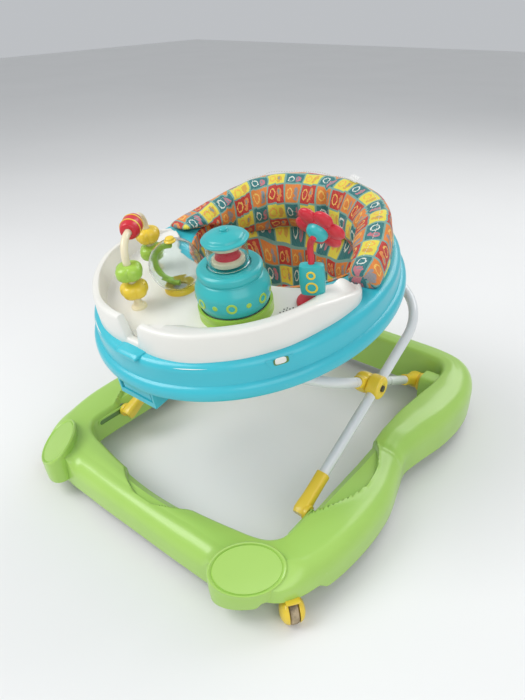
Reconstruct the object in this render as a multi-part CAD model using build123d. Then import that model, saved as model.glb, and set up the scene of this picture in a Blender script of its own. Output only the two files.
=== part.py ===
from build123d import *
import os
from math import cos, radians, sin, sqrt

# Baby walker: a low moulded ring base on casters, a steel-tube scissor frame, and a tilted
# oval tray that carries a toy tray and a padded fabric seat.
# Frame: the origin is on the floor under the middle of the whole walker. +X is the right-hand
# side seen from the front, -Y is the front (the toy side) and +Z is up. Millimetres. The sizes
# below are laid out from the middle of the base ring, and save() shifts each piece from there
# by FRAME_SHIFT, because the corner pods stand out past the ring's front edge.

os.makedirs("parts", exist_ok=True)

# ---- driving dimensions -------------------------------------------------------------------
FRAME_SHIFT = 13.0            # middle of the ring to middle of the walker, along Y
BASE_BOTTOM = 28.0            # lowest edge of the moulded skirt above the floor
WALL = 3.0                    # wall of the base and tray mouldings
TUBE_R = 9.5                  # 19 mm steel tube
TUBE_WALL = 1.5
PIVOT_Z = 70.0                # height of the rear pivots and of the front slots
REAR_PIVOT_Y = 272.0
SLIDE_Y = -196.0              # front leg's lower end, standing
LEG_ANGLE = 27.7              # slope of both legs, standing
FOLD_ANGLE = 22.7             # how far each leg drops when folded
OUTER_LEG_X = 222.0           # the front leg runs outside the rear leg
INNER_LEG_X = 197.5
REAR_CORNER_R = 180.0         # bend at the top of the rear leg's U
FRONT_CORNER_R = 125.0        # bend at the top of the front leg's U
RUN = 0.05                    # radial running clearance of pins and spinners

TRAY_ORIGIN = (0.0, -44.3, 355.7)
TRAY_TILT = 8.9               # the tray's rear stands higher
TRAY_A = 261.0                # half width of the tray's rim
TRAY_B = 298.6                # half length
TRAY_H = 58.0                 # rim to top
TOY_FLOOR = 66.0              # top of the toy tray's platform, above the rim plane

ARM = (REAR_PIVOT_Y - SLIDE_Y) / 2 / cos(radians(LEG_ANGLE))
HUB_Y = (REAR_PIVOT_Y + SLIDE_Y) / 2
HUB_Z = PIVOT_Z + ARM * sin(radians(LEG_ANGLE))
REAR_LEG_LENGTH = 2 * ARM
FRONT_LEG_LENGTH = ARM + 245.0
SLIDE_END_Y = REAR_PIVOT_Y - 2 * ARM * cos(radians(LEG_ANGLE - FOLD_ANGLE))

TRAY = Location(TRAY_ORIGIN) * Rot(TRAY_TILT, 0, 0)


def save(name, shape):
    export_step(Pos(0, FRAME_SHIFT, 0) * shape, "parts/" + name + ".step")


def save_pair(name, right):
    # right is the +X piece, and its mirror image is the other one
    save(name + "_right", right)
    save(name + "_left", mirror(right, about=Plane.YZ))


def both(shape):
    return shape + mirror(shape, about=Plane.YZ)


def rod(radius, start, end):
    # round bar between two points
    axis = Vector(*end) - Vector(*start)
    return Plane(origin=start, z_dir=axis) * Cylinder(
        radius, axis.length, align=(Align.CENTER, Align.CENTER, Align.MIN))


def block(x0, y0, z0, x1, y1, z1):
    size = (x1 - x0, y1 - y0, z1 - z0)
    return Pos(x0, y0, z0) * Box(*size, align=(Align.MIN, Align.MIN, Align.MIN))


def ellipse_disc(a, b, h0, h1, x=0.0, y=0.0):
    return Pos(x, y, h0) * extrude(Ellipse(a, b), amount=h1 - h0)


def disc(radius, h0, h1, x=0.0, y=0.0):
    return Pos(x, y, h0) * Cylinder(radius, h1 - h0, align=(Align.CENTER, Align.CENTER, Align.MIN))


# ---- base ---------------------------------------------------------------------------------
# Half outlines, from the front middle round to the rear middle
OUTER = [(0, -380), (120, -379.5), (215, -374), (290, -345), (322, -272), (335, -180), (332, -90),
         (312, -10), (303, 28), (311, 80), (326, 150), (331, 230), (319, 300), (288, 350),
         (235, 374), (150, 379.5), (0, 380)]
INNER = [(0, -322), (80, -317), (160, -305), (215, -292), (237, -272), (241, -240), (241, -180),
         (240, -80), (240, 0), (239, 50), (241, 110), (248, 180), (254, 240), (252, 284),
         (234, 312), (190, 320), (90, 320), (0, 320)]
# Height of the base's top along its length
TOP = [(-392, 84), (-350, 88), (-260, 90), (-170, 92), (-60, 92), (0, 95), (60, 103), (150, 108),
       (250, 110), (320, 116), (392, 114)]


def closed_face(half, inset):
    # smooth outline from its +X half, moved inward by inset (outward if negative)
    loop = half + [(-x, y) for x, y in reversed(half[1:-1])]
    moved = []
    for i, (x, y) in enumerate(loop):
        x0, y0 = loop[i - 1]
        x1, y1 = loop[(i + 1) % len(loop)]
        length = sqrt((x1 - x0) ** 2 + (y1 - y0) ** 2)
        moved.append((x - inset * (y1 - y0) / length, y + inset * (x1 - x0) / length))
    return make_face(Spline(*moved, periodic=True))


def under_top(drop):
    # everything below the base's top surface lowered by drop
    line = Spline(*[(y, z - drop) for y, z in TOP])
    sides = Polyline((TOP[-1][0], TOP[-1][1] - drop), (TOP[-1][0], 0), (TOP[0][0], 0),
                     (TOP[0][0], TOP[0][1] - drop))
    return Plane.YZ * extrude(make_face([line, sides]), amount=400, both=True)


POD_CENTRE = Vector(237, -357, 92)
POD_TILT = 32.0
POD_TURN = 44.5               # the pod faces outward between -Y and +X
STEM = (284.0, -318.0)        # caster stem
CASTER_WHEEL_R = 21.0
TRAIL = 20.0


def pod_plane():
    turn = radians(POD_TURN)
    out = Vector(sin(turn), -cos(turn), 0)
    normal = out * sin(radians(POD_TILT)) + Vector(0, 0, cos(radians(POD_TILT)))
    along = Vector(cos(turn), sin(turn), 0)
    return Plane(origin=POD_CENTRE, x_dir=along, z_dir=normal)


def scallop(skin):
    # pocket in the front bar that the height track drops into when folded, grown by skin
    round_bar = Pos(0, -304, 112) * Rot(0, 90, 0) * Cylinder(46 + skin, 168 + 2 * skin)
    return round_bar & block(-200, -400, 67 - skin, 200, -200, 200)


def base_shell():
    height = 160
    body = extrude(closed_face(OUTER, 0), amount=height) - extrude(closed_face(INNER, 0), amount=height)
    body = body & under_top(0)
    pod = pod_plane()
    right_pod = pod * ellipse_disc(61, 40, -60, 0)
    above = pod * ellipse_disc(62, 41, 0, 60)
    body = (body - both(above)) + both(right_pod & block(0, -420, 36, 400, 0, 200))
    body = body - block(-400, -400, 0, 400, 400, BASE_BOTTOM)
    # the hollow underside
    cavity = extrude(closed_face(OUTER, WALL), amount=height) - extrude(closed_face(INNER, -WALL), amount=height)
    cavity = cavity & under_top(WALL)
    cavity = cavity - both(pod * ellipse_disc(62, 41, -WALL, 60)) - scallop(WALL)
    body = body - cavity - scallop(0)
    # room for the swivelling casters
    body = body - both(disc(47, 0, 49, *STEM))
    body = body + both(caster_boss() + axle_ribs() + pivot_boss() + slot_frame())
    cut = block(230, SLIDE_END_Y, PIVOT_Z - 5.6, 250, SLIDE_Y, PIVOT_Z + 5.6)
    for y in (SLIDE_Y, SLIDE_END_Y):
        cut = cut + rod(5.6, (230, y, PIVOT_Z), (250, y, PIVOT_Z))
    pin = rod(5.0, (210, REAR_PIVOT_Y, PIVOT_Z), (262, REAR_PIVOT_Y, PIVOT_Z))
    stem = disc(5.0 + RUN, 40, 79, *STEM)
    axle = rod(4.0, (240, REAR_WHEEL[1], REAR_WHEEL[2]), (290, REAR_WHEEL[1], REAR_WHEEL[2]))
    return body - both(cut + pin + stem + axle)


def caster_boss():
    return disc(9, 50, 86, *STEM)


REAR_WHEEL = (265.0, 325.0, 25.0)     # centre of the fixed rear wheel
REAR_WHEEL_W = 16.0


def axle_ribs():
    x, y, z = REAR_WHEEL
    inner = block(x - 14, y - 8, z - 7, x - 10, y + 8, 113)
    outer = block(x + 10, y - 8, z - 7, x + 14, y + 8, 113)
    return inner + outer


def pivot_boss():
    # block on the inner wall that carries the rear leg's pin
    boss = block(218, REAR_PIVOT_Y - 27, BASE_BOTTOM + 4, 262, REAR_PIVOT_Y + 24, 98)
    hollow = block(230, REAR_PIVOT_Y - 23, 0, 250, REAR_PIVOT_Y + 20, 50)
    return boss - hollow


def slot_frame():
    # raised lip round the slot, inside the wall
    y0 = SLIDE_END_Y - 12
    y1 = SLIDE_Y + 12
    return block(241, y0, PIVOT_Z - 12, 245, y1, PIVOT_Z + 12)


STRIP_Z = 14.0                # lowest edge of the rubber strips above the floor


def grip_strips():
    # rubber strips set into the skirt, which brake the base when a wheel drops off a step
    front = block(-120, -366, STRIP_Z, 120, -360, 48)
    rear = block(-120, 345, STRIP_Z, 120, 351, 48)
    side = block(284, -120, STRIP_Z, 290, -20, 48)
    return front, rear, side


# ---- casters and wheels -------------------------------------------------------------------
TRAIL_DIR = (0.8, -0.6)


def caster_centre():
    return (STEM[0] + TRAIL * TRAIL_DIR[0], STEM[1] + TRAIL * TRAIL_DIR[1], CASTER_WHEEL_R)


def caster_plane():
    # local x is the axle's direction, and local y points back towards the stem
    return Plane(origin=caster_centre(), x_dir=(-TRAIL_DIR[1], TRAIL_DIR[0], 0), z_dir=(0, 0, 1))


def caster_wheel():
    wheel = Rot(0, 90, 0) * Cylinder(CASTER_WHEEL_R, 15)
    wheel = fillet(wheel.edges().filter_by(GeomType.CIRCLE), 4)
    bore = Rot(0, 90, 0) * Cylinder(3 + RUN, 30)
    return caster_plane() * (wheel - bore)


def caster_housing():
    dome = Cylinder(20, 12)
    dome = fillet(dome.edges().group_by(Axis.Z)[-1], 11)
    dome = Pos(14.5, 0, 0) * (Rot(0, 90, 0) * dome)
    cheek = block(9, -7, 4, 13, 7, 26)
    bridge = block(-13, -8, 23, 13, TRAIL + 9, 27)
    axle = Rot(0, 90, 0) * Cylinder(3, 24)
    side = dome + cheek
    return caster_plane() * (both(side) + bridge + axle)


def caster_stem():
    top = CASTER_WHEEL_R + 27
    return disc(5, top, 77, *STEM) + disc(7.5, top, top + 1.5, *STEM)


def rear_wheel():
    x, y, z = REAR_WHEEL
    wheel = Rot(0, 90, 0) * Cylinder(z, REAR_WHEEL_W)
    wheel = fillet(wheel.edges().filter_by(GeomType.CIRCLE), 4)
    dish = Rot(0, 90, 0) * (Cylinder(17, 40) - Cylinder(8, 40) - Box(50, 50, 8))
    wheel = wheel - (dish & (block(4, -30, -30, 20, 30, 30) + block(-20, -30, -30, -4, 30, 30)))
    return Pos(x, y, z) * (wheel - Rot(0, 90, 0) * Cylinder(4 + RUN, 40))


# ---- scissor frame ------------------------------------------------------------------------
def leg_plane(side):
    # side +1: front leg, from its front slide up and back. -1: rear leg, up and forward
    y = SLIDE_Y if side > 0 else REAR_PIVOT_Y
    rise = (0, -side * sin(radians(LEG_ANGLE)), cos(radians(LEG_ANGLE)))
    direction = Vector(0, side * cos(radians(LEG_ANGLE)), sin(radians(LEG_ANGLE)))
    return Plane(origin=(0, y, PIVOT_Z), x_dir=direction.cross(Vector(*rise)), z_dir=rise)


def u_tube(side, half_width, start, length, corner):
    plane = leg_plane(side)
    pts = [(-half_width, start), (-half_width, length), (half_width, length), (half_width, start)]
    path = plane * FilletPolyline(*pts, radius=corner)
    first = path @ 0
    section = Plane(origin=first, z_dir=path % 0)
    outer = sweep(section * Circle(TUBE_R), path=path)
    inner = sweep(section * Circle(TUBE_R - TUBE_WALL), path=path)
    return outer - inner


def along_leg(side, x, distance):
    direction = (0, side * cos(radians(LEG_ANGLE)), sin(radians(LEG_ANGLE)))
    y = SLIDE_Y if side > 0 else REAR_PIVOT_Y
    return (x, y + direction[1] * distance, PIVOT_Z + direction[2] * distance)


def leg_bar(side, radius, x, s0, s1):
    return rod(radius, along_leg(side, x, s0), along_leg(side, x, s1))


def hub_bar(radius, x0, x1):
    return rod(radius, (x0, HUB_Y, HUB_Z), (x1, HUB_Y, HUB_Z))


def rear_leg_tube():
    tube = u_tube(-1, INNER_LEG_X, 16, REAR_LEG_LENGTH, REAR_CORNER_R)
    return tube - both(hub_bar(4 + RUN, INNER_LEG_X - 15, INNER_LEG_X + 15))


def front_leg_tube():
    tube = u_tube(1, OUTER_LEG_X, 20, FRONT_LEG_LENGTH, FRONT_CORNER_R)
    return tube - both(hub_bar(4, OUTER_LEG_X - 15, OUTER_LEG_X + 15))


def rear_foot():
    # yellow flared bracket at the rear leg's lower end, which turns on the pin
    x = INNER_LEG_X
    knuckle = rod(16, (x - 11, REAR_PIVOT_Y, PIVOT_Z), (x + 13, REAR_PIVOT_Y, PIVOT_Z))
    flange = rod(21, (x + 13, REAR_PIVOT_Y, PIVOT_Z), (217.5, REAR_PIVOT_Y, PIVOT_Z))
    sleeve = leg_bar(-1, 12, x, 8, 62)
    pin = rod(5 + RUN, (x - 30, REAR_PIVOT_Y, PIVOT_Z), (x + 30, REAR_PIVOT_Y, PIVOT_Z))
    return knuckle + flange + sleeve - leg_bar(-1, TUBE_R, x, 16, 80) - pin


def pivot_pin():
    x = INNER_LEG_X
    shank = rod(5, (x - 13, REAR_PIVOT_Y, PIVOT_Z), (261, REAR_PIVOT_Y, PIVOT_Z))
    head = rod(9, (x - 16, REAR_PIVOT_Y, PIVOT_Z), (x - 12.4, REAR_PIVOT_Y, PIVOT_Z))
    return shank + head


SHOE_FLANGE_R = 14.0
SHOE_FACE_X = 237.5            # the flange's flat face, just clear of the base's inner wall


def slide_shoe():
    # yellow sleeve with a flat end and a round flange that slides on the base's inner wall
    x = OUTER_LEG_X
    sleeve = leg_bar(1, 12, x, 10, 72)
    knuckle = rod(13, (x - 9, SLIDE_Y, PIVOT_Z), (x + 10, SLIDE_Y, PIVOT_Z))
    flange = rod(SHOE_FLANGE_R, (x + 10, SLIDE_Y, PIVOT_Z), (SHOE_FACE_X, SLIDE_Y, PIVOT_Z))
    pin = rod(5, (x - 30, SLIDE_Y, PIVOT_Z), (x + 30, SLIDE_Y, PIVOT_Z))
    sleeve = sleeve & block(0, -400, 0, SHOE_FACE_X, 400, 400)
    return sleeve + knuckle + flange - leg_bar(1, TUBE_R, x, 20, 90) - pin


def slide_pin():
    x = OUTER_LEG_X
    shank = rod(5, (x - 9, SLIDE_Y, PIVOT_Z), (250, SLIDE_Y, PIVOT_Z))
    return shank + rod(9, (246, SLIDE_Y, PIVOT_Z), (250, SLIDE_Y, PIVOT_Z))


def hub_outer():
    barrel = hub_bar(22.5, OUTER_LEG_X - 12.5, OUTER_LEG_X + 13)
    barrel = fillet(barrel.edges().filter_by(GeomType.CIRCLE), 2.5)
    return barrel - leg_bar(1, TUBE_R, OUTER_LEG_X, 200, 330) - hub_bar(4, 150, 300)


def hub_inner():
    cap = hub_bar(20, INNER_LEG_X - 11.5, INNER_LEG_X + 11.5)
    sleeve = leg_bar(-1, 11.5, INNER_LEG_X, ARM - 34, ARM + 34)
    sleeve = sleeve & block(0, -400, 0, INNER_LEG_X + 11.5, 400, 400)
    return cap + sleeve - leg_bar(-1, TUBE_R, INNER_LEG_X, 200, 330) - hub_bar(4 + RUN, 150, 300)


def hub_rivet():
    shank = hub_bar(4, INNER_LEG_X - 12, OUTER_LEG_X + 13)
    return shank + hub_bar(6, OUTER_LEG_X + 13, OUTER_LEG_X + 14.5) + hub_bar(7, 183, INNER_LEG_X - 12)


# ---- tray ---------------------------------------------------------------------------------
SEAT_HOLE = (178.0, 152.0, 92.0)      # half width, half length and middle of the seat opening
RIM_STEP = 9.5                        # the wall stands this far inside the rim
BAR_DROP = 15.8                       # rear leg's bar below the rim plane, in the tray's frame
TRACK_REAR = -138.0                   # ends of the slot that the bar slides in
TRACK_FRONT = -226.0
LEVER_TOP = -0.9                      # the lever lies flat under the track's roof
LEVER_PLATE = 1.5


def tray_ring():
    a, b, y = SEAT_HOLE
    skirt = ellipse_disc(TRAY_A, TRAY_B, 0, 22)
    skirt = fillet(skirt.edges().group_by(Axis.Z)[-1], 9)
    drum = ellipse_disc(TRAY_A - RIM_STEP, TRAY_B - RIM_STEP, 5, TRAY_H)
    drum = fillet(drum.edges().group_by(Axis.Z)[-1], 10)
    inside = RIM_STEP + WALL
    hollow = ellipse_disc(TRAY_A - inside, TRAY_B - inside, -1, TRAY_H - WALL)
    lip = ellipse_disc(a + WALL, b + WALL, -1, TRAY_H, 0, y)
    body = skirt + drum - (hollow - lip)
    body = body - ellipse_disc(a, b, -1, 70, 0, y)
    # pocket of the front tab
    body = body - block(-28, -TRAY_B - 5, TRAY_H - 9, 28, -TRAY_B + 42, TRAY_H + 5)
    return body + block(-32, -TRAY_B + 14, TRAY_H - 12, 32, -TRAY_B + 46, TRAY_H - 9)


def front_tab():
    plate = block(-27.4, -TRAY_B + 10, TRAY_H - 5.5, 27.4, -TRAY_B + 41.4, TRAY_H)
    return fillet(plate.edges().filter_by(Axis.Z), 4)


def rear_hanger():
    # moulded arm from inside the tray's rear down to the front leg's cross bar
    bar = along_leg(1, 0, FRONT_LEG_LENGTH)
    x0, x1 = 52.0, 76.0
    root = TRAY * block(x0, 246, -4, x1, 267, TRAY_H - WALL)
    outline = Polyline((bar[1] - 17, bar[2]), (206, 391), (226, 396), (bar[1] + 17, bar[2]), close=True)
    web = Pos(x0, 0, 0) * (Plane.YZ * extrude(make_face(outline), amount=x1 - x0))
    ring = rod(17, (x0, bar[1], bar[2]), (x1, bar[1], bar[2]))
    hole = rod(TUBE_R + RUN, (x0 - 5, bar[1], bar[2]), (x1 + 5, bar[1], bar[2]))
    return root + web + ring - hole


def height_track():
    # slotted cheeks under the tray's front, which the rear leg's bar slides in
    cheek = block(36, -292, -32, 40, -128, 0) + block(-40, -292, -32, -36, -128, 0)
    slot = block(-45, TRACK_FRONT, -BAR_DROP - 12.5, 45, TRACK_REAR, -BAR_DROP + 13.2)
    front = block(-40, -292, -32, 40, -288, -22)
    rear = block(-40, -132, -32, 40, -128, 0)
    roof = block(-40, -280, 0, 40, -128, 3)
    return cheek + front + rear + roof - slot


def height_lever():
    # squeeze lever with a comb of teeth above the bar
    bottom = LEVER_TOP - LEVER_PLATE
    plate = block(-31, -284, bottom, 31, -190, LEVER_TOP)
    grip = block(-31, -290, -20, 31, -278, LEVER_TOP)
    body = plate + grip
    for i in range(5):
        body = body - block(-31, -200 - 18 * i, bottom - 1, 31, -194 - 18 * i, bottom + 0.7)
    return body


# ---- toy tray -----------------------------------------------------------------------------
TOY_OUTER = [(0, -270), (52, -268), (97, -254), (138, -226), (170, -194), (198, -152), (216, -104),
             (228, -55), (230, -8), (216, 17)]
TOY_INNER = [(196, 18), (176, 6), (150, -22), (105, -44), (50, -54), (0, -56)]
TOY_RIM = [(-300, 104), (-150, 104), (-100, 100), (-50, 88), (0, 73), (40, 68)]


RIM_WIDTH = 15.0
SKIN = 2.6


def toy_prism(h0, h1):
    return Pos(0, 0, h0) * extrude(closed_face(TOY_OUTER + TOY_INNER, 0), amount=h1 - h0)


def toy_tray():
    outline = Polyline(*TOY_RIM, (40, 0), (-300, 0), close=True)
    limit = Plane.YZ * extrude(make_face(outline), amount=300, both=True)
    band = toy_prism(TRAY_H, 118) - ellipse_disc(232 - RIM_WIDTH, 271 - RIM_WIDTH, TRAY_H - 1, 119)
    body = toy_prism(TOY_FLOOR - SKIN, TOY_FLOOR) + (band & limit)
    notch = block(-8, -290, TRAY_H - 5, 8, -230, 130)
    return body - notch - block(-29, -300, TRAY_H - 10, 29, -TRAY_B + 43, TRAY_H + 3)


POT = (82.0, -128.0)
LANTERN_H = 154.0


def pot_base():
    return disc(58, TOY_FLOOR, 85, *POT) - disc(54, TOY_FLOOR - 1, 86, *POT)


def pot_body():
    lower = disc(57, 85, 131, *POT)
    lower = fillet(lower.edges().group_by(Axis.Z)[-1], 9)
    shoulder = disc(48, 131, LANTERN_H - 5, *POT)
    shoulder = fillet(shoulder.edges().group_by(Axis.Z)[-1], 4)
    room = disc(54, 80, 126, *POT) + disc(45, 100, LANTERN_H - 8, *POT)
    return lower + shoulder - room + disc(4, LANTERN_H - 7, LANTERN_H + 6, *POT)


def lantern_glass():
    tube = disc(31, LANTERN_H - 4, 187, *POT) - disc(28.8, LANTERN_H - 4, 188, *POT)
    floor = disc(30, LANTERN_H - 4, LANTERN_H - 2, *POT)
    return tube + floor - disc(4 + RUN, LANTERN_H - 6, LANTERN_H, *POT)


def lantern_spool():
    waist = disc(11, LANTERN_H - 2, 187, *POT)
    ends = disc(18, LANTERN_H - 2, LANTERN_H + 6, *POT) + disc(18, 179, 187, *POT)
    return waist + ends - disc(4 + RUN, LANTERN_H - 6, LANTERN_H + 7, *POT)


def lantern_lid():
    lid = fillet(disc(35, 187, 196, *POT).edges(), 3)
    dome = Pos(POT[0], POT[1], 196 - 60) * Sphere(64) & disc(28, 190, 204, *POT)
    return lid + dome + disc(5, 199, 206, *POT)


BALL = (-43.0, -125.0, 111.0)
BALL_R = 44.0


def ball_base():
    x, y, z = BALL
    return disc(27, TOY_FLOOR, 76, x, y) - Pos(x, y, z) * Sphere(BALL_R + 0.5)


def ball_globe():
    x, y, z = BALL
    shell = Pos(x, y, z) * (Sphere(BALL_R) - Sphere(BALL_R - 2))
    knob = Pos(x, y, z + BALL_R - 1) * Sphere(8)
    knob = knob - Pos(x, y, z) * Sphere(BALL_R - 2)
    return shell + knob


def ball_fin():
    # curved vane inside the globe
    ring = Cylinder(40, 9) - Cylinder(30, 9)
    half = ring & block(-50, -50, -5, 4, 50, 5)
    return Pos(*BALL) * (Rot(90, 0, 25) * half)


ARCH_FRONT = (-65.0, -199.0)
ARCH_REAR = (-130.0, -100.0)
ARCH_TOP = 178.0
ARCH_BEND = 30.0
ARCH_R = 6.0


def arch_tube():
    f = (*ARCH_FRONT, TOY_FLOOR)
    r = (*ARCH_REAR, TOY_FLOOR)
    path = FilletPolyline(f, (*ARCH_FRONT, ARCH_TOP), (*ARCH_REAR, ARCH_TOP), r, radius=ARCH_BEND)
    feet = disc(13, TOY_FLOOR, TOY_FLOOR + 5, *ARCH_FRONT) + disc(13, TOY_FLOOR, TOY_FLOOR + 5, *ARCH_REAR)
    return sweep(Plane(origin=path @ 0, z_dir=path % 0) * Circle(ARCH_R), path=path) + feet


def petal_bead(radius, height, petals):
    # rounded flower-shaped bead with its bore along Z
    bead = Sphere(radius * 0.72)
    for i in range(petals):
        turn = 360 / petals * i
        bead = bead + Rot(0, 0, turn) * Pos(radius * 0.62, 0, 0) * Sphere(radius * 0.38)
    bead = bead & Cylinder(radius * 1.1, height)
    return bead - Cylinder(ARCH_R + RUN, 80)


def upright_bead(place, h, radius, petals):
    return Pos(*place, h) * petal_bead(radius, 26, petals)


def arch_axis():
    dx, dy = ARCH_REAR[0] - ARCH_FRONT[0], ARCH_REAR[1] - ARCH_FRONT[1]
    length = sqrt(dx * dx + dy * dy)
    return dx / length, dy / length


def top_bead():
    dx, dy = arch_axis()
    mid = ((ARCH_FRONT[0] + ARCH_REAR[0]) / 2, (ARCH_FRONT[1] + ARCH_REAR[1]) / 2, ARCH_TOP)
    bead = fillet(Cylinder(17, 42).edges().filter_by(GeomType.CIRCLE), 12)
    bead = bead - Cylinder(ARCH_R + RUN, 80)
    return Plane(origin=mid, x_dir=(-dy, dx, 0), z_dir=(dx, dy, 0)) * bead


POST = (175.0, -54.0)
FLOWER = (190.0, -52.0, 190.0)


def post_base():
    return fillet(disc(27, TOY_FLOOR, TOY_FLOOR + 9, *POST).edges().group_by(Axis.Z)[-1], 3)


def post_body():
    slab = Pos(*POST, 108) * Rot(0, 0, 25) * Box(40, 20, 54)
    slab = fillet(slab.edges(), 6)
    return slab


def post_stem():
    start = (POST[0], POST[1], 135)
    knee = (POST[0], POST[1], 168)
    elbow = flower_point(-12)
    arm = rod(5, knee, elbow) + rod(5, elbow, flower_point(2))
    return rod(5, start, knee) + Pos(*knee) * Sphere(5.2) + Pos(*elbow) * Sphere(5.2) + arm


FLOWER_TILT = 25.0


def flower_plane():
    # the flower faces the seat: back and a little up
    tilt = radians(FLOWER_TILT)
    return Plane(origin=FLOWER, x_dir=(1, 0, 0), z_dir=(0, cos(tilt), sin(tilt)))


def flower_point(out):
    z = flower_plane().z_dir
    return tuple(Vector(*FLOWER) + z * out)


def flower_head():
    head = Pos(0, 0, 4) * Cylinder(20, 12)
    for i in range(6):
        head = head + Rot(0, 0, 60 * i) * Pos(26, 0, 3) * Sphere(14)
    head = head & Pos(0, 0, 4) * Cylinder(45, 14)
    return flower_plane() * (head - Cylinder(5 + RUN, 5))


# ---- seat ---------------------------------------------------------------------------------
BUCKET_BOTTOM = -165.0


def seat_back():
    top = [(20.5, 94), (60, 108), (120, 130), (180, 145), (300, 153)]
    outer = loft([Pos(0, 0, TRAY_H) * Ellipse(238, 272), Pos(0, 0, 175) * Ellipse(205, 205)])
    inner = loft([Pos(0, 70, TRAY_H) * Ellipse(176, 168), Pos(0, 30, 175) * Ellipse(165, 138)])
    line = Polyline(*top, (300, TRAY_H), (20.5, TRAY_H), close=True)
    limit = Plane.YZ * extrude(make_face(line), amount=300, both=True)
    return (outer - inner) & limit


def seat_bucket():
    a, b, y = SEAT_HOLE
    hem = ellipse_disc(a - 1, b - 1, 26, TRAY_H, 0, y) - ellipse_disc(a - 5, b - 5, 0, 70, 0, y)
    outer = loft([Pos(0, y, 36) * Ellipse(a - 2.5, b - 2.5), Pos(0, y + 8, -70) * Ellipse(135, 122),
                  Pos(0, y + 20, BUCKET_BOTTOM) * Ellipse(86, 80)])
    inner = loft([Pos(0, y, 37) * Ellipse(a - 6, b - 6), Pos(0, y + 8, -70) * Ellipse(130.5, 117.5),
                  Pos(0, y + 20, BUCKET_BOTTOM + 5) * Ellipse(82, 76)])
    legs = Pos(50, y - 60, BUCKET_BOTTOM + 52) * Rot(90, 0, 0) * Cylinder(44, 130)
    legs = legs + Pos(50, y - 20, BUCKET_BOTTOM) * Cylinder(34, 60)
    return hem + (outer - inner) - both(legs)


# ---- write --------------------------------------------------------------------------------
save("base_shell", base_shell())
front_strip, rear_strip, side_strip = grip_strips()
save("grip_strip_front", front_strip)
save("grip_strip_rear", rear_strip)
save_pair("grip_strip", side_strip)
save_pair("pivot_pin", pivot_pin())
save_pair("rear_axle", rod(4, (REAR_WHEEL[0] - 15, *REAR_WHEEL[1:]), (REAR_WHEEL[0] + 15, *REAR_WHEEL[1:])))
save_pair("caster_stem", caster_stem())
save_pair("caster_housing", caster_housing())
save_pair("caster_wheel", caster_wheel())
save_pair("rear_wheel", rear_wheel())
save("rear_leg_tube", rear_leg_tube())
save_pair("rear_foot", rear_foot())
save_pair("hub_inner", hub_inner())
save("front_leg_tube", front_leg_tube())
save_pair("slide_shoe", slide_shoe())
save_pair("slide_pin", slide_pin())
save_pair("hub_outer", hub_outer())
save_pair("hub_rivet", hub_rivet())
save_pair("rear_hanger", rear_hanger())

ON_TRAY = {
    "tray_ring": tray_ring, "front_tab": front_tab, "height_track": height_track,
    "height_lever": height_lever, "toy_tray": toy_tray, "pot_base": pot_base, "pot_body": pot_body,
    "lantern_glass": lantern_glass, "lantern_spool": lantern_spool, "lantern_lid": lantern_lid,
    "ball_base": ball_base, "ball_globe": ball_globe, "ball_fin": ball_fin, "arch_tube": arch_tube,
    "bead_top": top_bead, "post_base": post_base, "post_body": post_body, "post_stem": post_stem,
    "flower_head": flower_head, "seat_back": seat_back, "seat_bucket": seat_bucket,
}
for name, make in ON_TRAY.items():
    save(name, TRAY * make())

BEADS = {
    "bead_front_low": (ARCH_FRONT, 100, 23, 5), "bead_front_high": (ARCH_FRONT, 132, 23, 4),
    "bead_rear_low": (ARCH_REAR, 100, 22, 4), "bead_rear_high": (ARCH_REAR, 132, 22, 5),
}
for name, values in BEADS.items():
    save(name, TRAY * upright_bead(*values))
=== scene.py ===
import bpy, bmesh
from math import sin, cos, pi, radians, atan2, hypot, exp
from mathutils import Vector, Matrix, kdtree


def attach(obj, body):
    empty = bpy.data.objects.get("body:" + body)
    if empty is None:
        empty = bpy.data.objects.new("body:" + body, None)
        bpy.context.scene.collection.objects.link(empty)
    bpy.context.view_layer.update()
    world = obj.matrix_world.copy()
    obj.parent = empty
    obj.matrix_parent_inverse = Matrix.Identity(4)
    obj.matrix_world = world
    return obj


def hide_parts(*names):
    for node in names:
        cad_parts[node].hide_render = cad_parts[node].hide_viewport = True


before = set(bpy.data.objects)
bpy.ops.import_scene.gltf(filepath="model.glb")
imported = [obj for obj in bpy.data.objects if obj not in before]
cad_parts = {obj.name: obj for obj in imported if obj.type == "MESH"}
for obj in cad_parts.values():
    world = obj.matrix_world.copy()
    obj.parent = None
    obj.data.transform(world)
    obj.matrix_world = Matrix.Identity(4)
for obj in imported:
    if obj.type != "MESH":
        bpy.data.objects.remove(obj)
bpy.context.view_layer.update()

# Baby walker: ring base, folding tube frame, tilted tray, toy tray and padded printed seat.
# Layout sizes are millimetres from the middle of the ring, as in the CAD; shiftY moves them to the row frame.
shiftY = 13.0
trayPlace = {"origin": (0.0, -44.3, 355.7), "tilt": 8.9}
mm = 0.001

baseMatrix = Matrix.Diagonal((mm, mm, mm, 1)) @ Matrix.Translation((0, shiftY, 0))
trayMatrix = (baseMatrix @ Matrix.Translation(trayPlace["origin"])
              @ Matrix.Rotation(radians(trayPlace["tilt"]), 4, "X"))


def smooth(a, b, x):
    t = min(1.0, max(0.0, (x - a) / (b - a)))
    return t * t * (3 - 2 * t)


def mix(a, b, t):
    return a + (b - a) * t


def turns(count):
    # even angles round one turn
    return [2 * pi * k / count for k in range(count)]


def between(line, x, soft):
    # height of a line of (place, height) points at x, eased between them where soft
    for (x0, z0), (x1, z1) in zip(line, line[1:]):
        if x <= x1:
            return mix(z0, z1, smooth(x0, x1, x) if soft else (x - x0) / (x1 - x0))
    return line[-1][1]


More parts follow.
